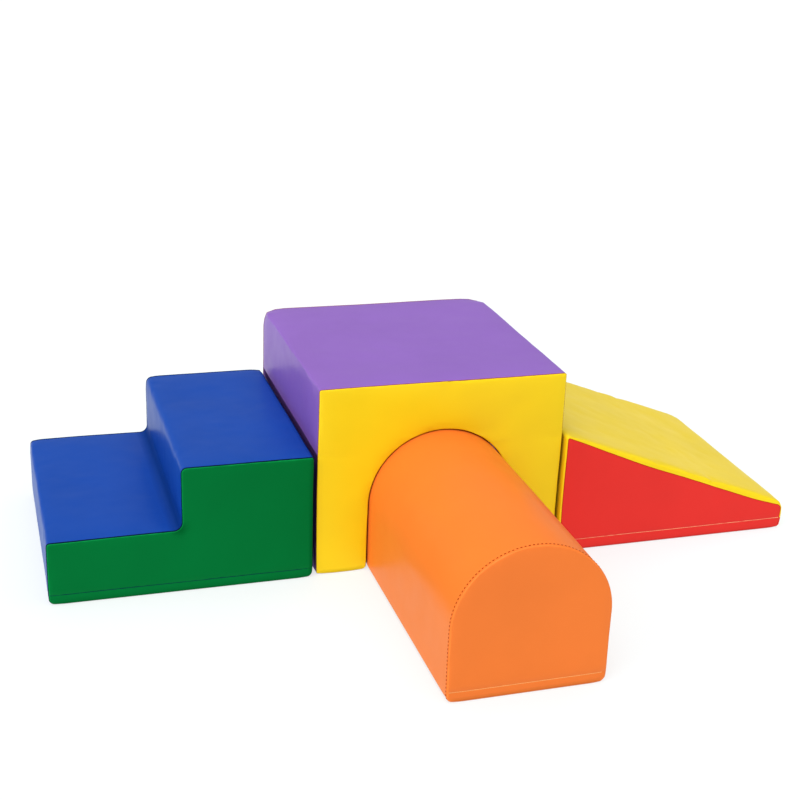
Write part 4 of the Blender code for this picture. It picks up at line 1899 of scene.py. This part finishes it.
@dataclass
class ArchBolster(FoamBlock):
    """The tunnel's cut-out, which slides in and out of the arch."""

    clearance: float = 0.0008
    arch_height: float = 0.228
    sag: float = 0.022
    free_length: float = 0.24

    def outline(self) -> Outline:
        """Draws the arch.

        Returns:
            The outline.
        """
        half = (self.high.x - self.low.x) / 2
        top = self.arch_height - self.clearance
        return Outline((
            Corner(self.low.x, self.stand, self.foot),
            Corner(self.low.x, top, half, 24),
            Corner(self.high.x, top, half, 24),
            Corner(self.high.x, self.stand, self.foot),
        ))

    def settle(self, spot: Vector) -> Vector:
        """Lets the free end sink a little under its cover before the rest; see FoamBlock.settle."""
        free = fade(spot.y - self.place.y, self.free_length)
        return super().settle(Vector((spot.x, spot.y, spot.z * (1 - self.sag * free))))

    def held_above(self, spot: Vector, normal: Vector) -> float:
        """Holds the arch, which has to slide in the tunnel; see FoamBlock.held_above."""
        return self.arch_hold if abs(normal.y) < SLANT else self.loose_hold


@dataclass
class Studio:
    """Floor, lights and camera."""

    lens: float = 62.70
    eye: Vector = field(default_factory=lambda: Vector((-0.69023, -1.88299, 1.04892)))
    yaw: float = 0.31465
    pitch: float = 0.37111
    roll: float = 0.04381

    def build(self) -> None:
        """Builds the floor, the lights and the camera."""
        self.floor()
        self.lights()
        self.camera()

    def floor(self) -> None:
        """Lays the pale floor."""
        Bench.clear()
        bpy.ops.mesh.primitive_plane_add(size=60.0, location=(0, 0, 0))
        floor = bpy.context.object
        floor.name = "studio_floor"
        floor.data.materials.append(PaleFloor("pale_floor", (0.270, 0.304, 0.312), 0.569).make())

    def lights(self) -> None:
        """Hangs soft lights and fills the room with white."""
        world = bpy.data.worlds.new("white_room")
        world.use_nodes = True
        world.node_tree.nodes["Background"].inputs["Color"].default_value = (1, 1, 1, 1)
        world.node_tree.nodes["Background"].inputs["Strength"].default_value = 0.42
        bpy.context.scene.world = world
        for name, place, strength, spread in (
            ("key_light", (-1.2, -2.6, 3.2), 1.15, 50),
            ("top_light", (0.2, 0.1, 3.0), 0.75, 80),
            ("side_light", (-3.4, -0.9, 1.9), 0.70, 40),
        ):
            turn = (-Vector(place)).to_track_quat("-Z", "Y").to_euler()
            bpy.ops.object.light_add(type="SUN", location=place, rotation=turn)
            light = bpy.context.object
            light.name = name
            light.data.energy = strength
            light.data.angle = math.radians(spread)

    def camera(self) -> None:
        """Stands the camera where the photograph was taken from."""
        level = math.cos(self.pitch)
        ahead = Vector((math.sin(self.yaw) * level, math.cos(self.yaw) * level, -math.sin(self.pitch)))
        right = ahead.cross(Vector((0, 0, 1))).normalized()
        up = right.cross(ahead)
        across = right * math.cos(self.roll) + up * math.sin(self.roll)
        rise = up * math.cos(self.roll) - right * math.sin(self.roll)
        turn = Matrix((across, rise, -ahead)).transposed()
        Bench.clear()
        bpy.ops.object.camera_add(location=self.eye, rotation=turn.to_euler())
        camera = bpy.context.object
        camera.name = "photo_camera"
        camera.data.lens = self.lens
        camera.data.clip_end = 200.0
        bpy.context.scene.camera = camera
        bpy.context.scene.view_settings.view_transform = "Standard"
        bpy.context.scene.view_settings.look = "Medium High Contrast"


def main() -> None:
    """Builds every block, then the studio round them."""
    logging.basicConfig(level=logging.INFO, format="%(message)s")
    blue = Vinyl("blue_sheet", srgb(18, 77, 166))
    green = Vinyl("green_sheet", srgb(0, 117, 59), gloss=0.05, rub_and_highlight_tint=1.8)
    purple = Vinyl("purple_sheet", srgb(144, 106, 187))
    yellow = Vinyl("yellow_sheet", srgb(237, 209, 36), rub_and_highlight_tint=1.04)
    red = Vinyl("red_sheet", srgb(221, 57, 51))
    orange = Vinyl("orange_sheet", srgb(240, 132, 58), gloss=0.1)
    # the bolster's end panels take a darker copy of the orange sheet: painted shade for the dimmer light
    # on its front
    orange_panel_shaded = Vinyl("orange_end_sheet", srgb(231, 126, 57))
    blocks = [
        TunnelBlock("tunnel", purple, yellow, "purple_vinyl", "yellow_vinyl", srgb(150, 60, 24),
                    roll=0.0019, lip=0.0007, snug_right=0.0016, back_draw=0.0095, draw_reach=0.034,
                    cord_radius=0.001),
        # the steps' dark navy seam cord is partly thread and partly stands in for the shade in the
        # seam's groove
        StepsBlock("steps", blue, green, "blue_vinyl", "green_vinyl", srgb(6, 18, 52),
                   flare=0.001, hem_colour=srgb(14, 52, 78)),
        SlideBlock("slide", yellow, red, "yellow_vinyl", "red_vinyl", srgb(180, 44, 18), roll=0.0022,
                   overlap=0.0009, seam=SeamPlace.ON_FACE, snug_left=0.0016, cord_radius=0.0007,
                   hem_height=0.019, flare=0.004, hem_colour=srgb(255, 190, 150)),
        ArchBolster("bolster", orange, orange_panel_shaded, "orange_vinyl", "orange_vinyl", srgb(244, 132, 62),
                    draw=0.0, stand=0.0009, foot_drop=0.0003, lip=0.0005, most=0.0012,
                    unevenness=0.0003, cord_radius=0.0011, cord_sink=0.5,
                    hem_colour=srgb(255, 184, 122), stitch_colour=srgb(168, 62, 16)),
    ]
    press = CoverPress()
    for block in blocks:
        block.start(press)
    press.run()
    for block in blocks:
        block.complete()
    for name, colour in (("tunnel", yellow.colour), ("steps", green.colour), ("slide", red.colour),
                         ("bolster", orange.colour)):
        Zip(name, shade(colour, 0.6)).build()
    for stem, body in (("tunnel_hook_strip_left", "tunnel"), ("tunnel_hook_strip_right", "tunnel"),
                       ("steps_loop_strip", "steps"), ("slide_loop_strip", "slide")):
        for number in (1, 2):
            HookPatch(f"{stem}_{number}", body, "hook" in stem).build()
    Studio().build()


if __name__ == "__main__":
    main()
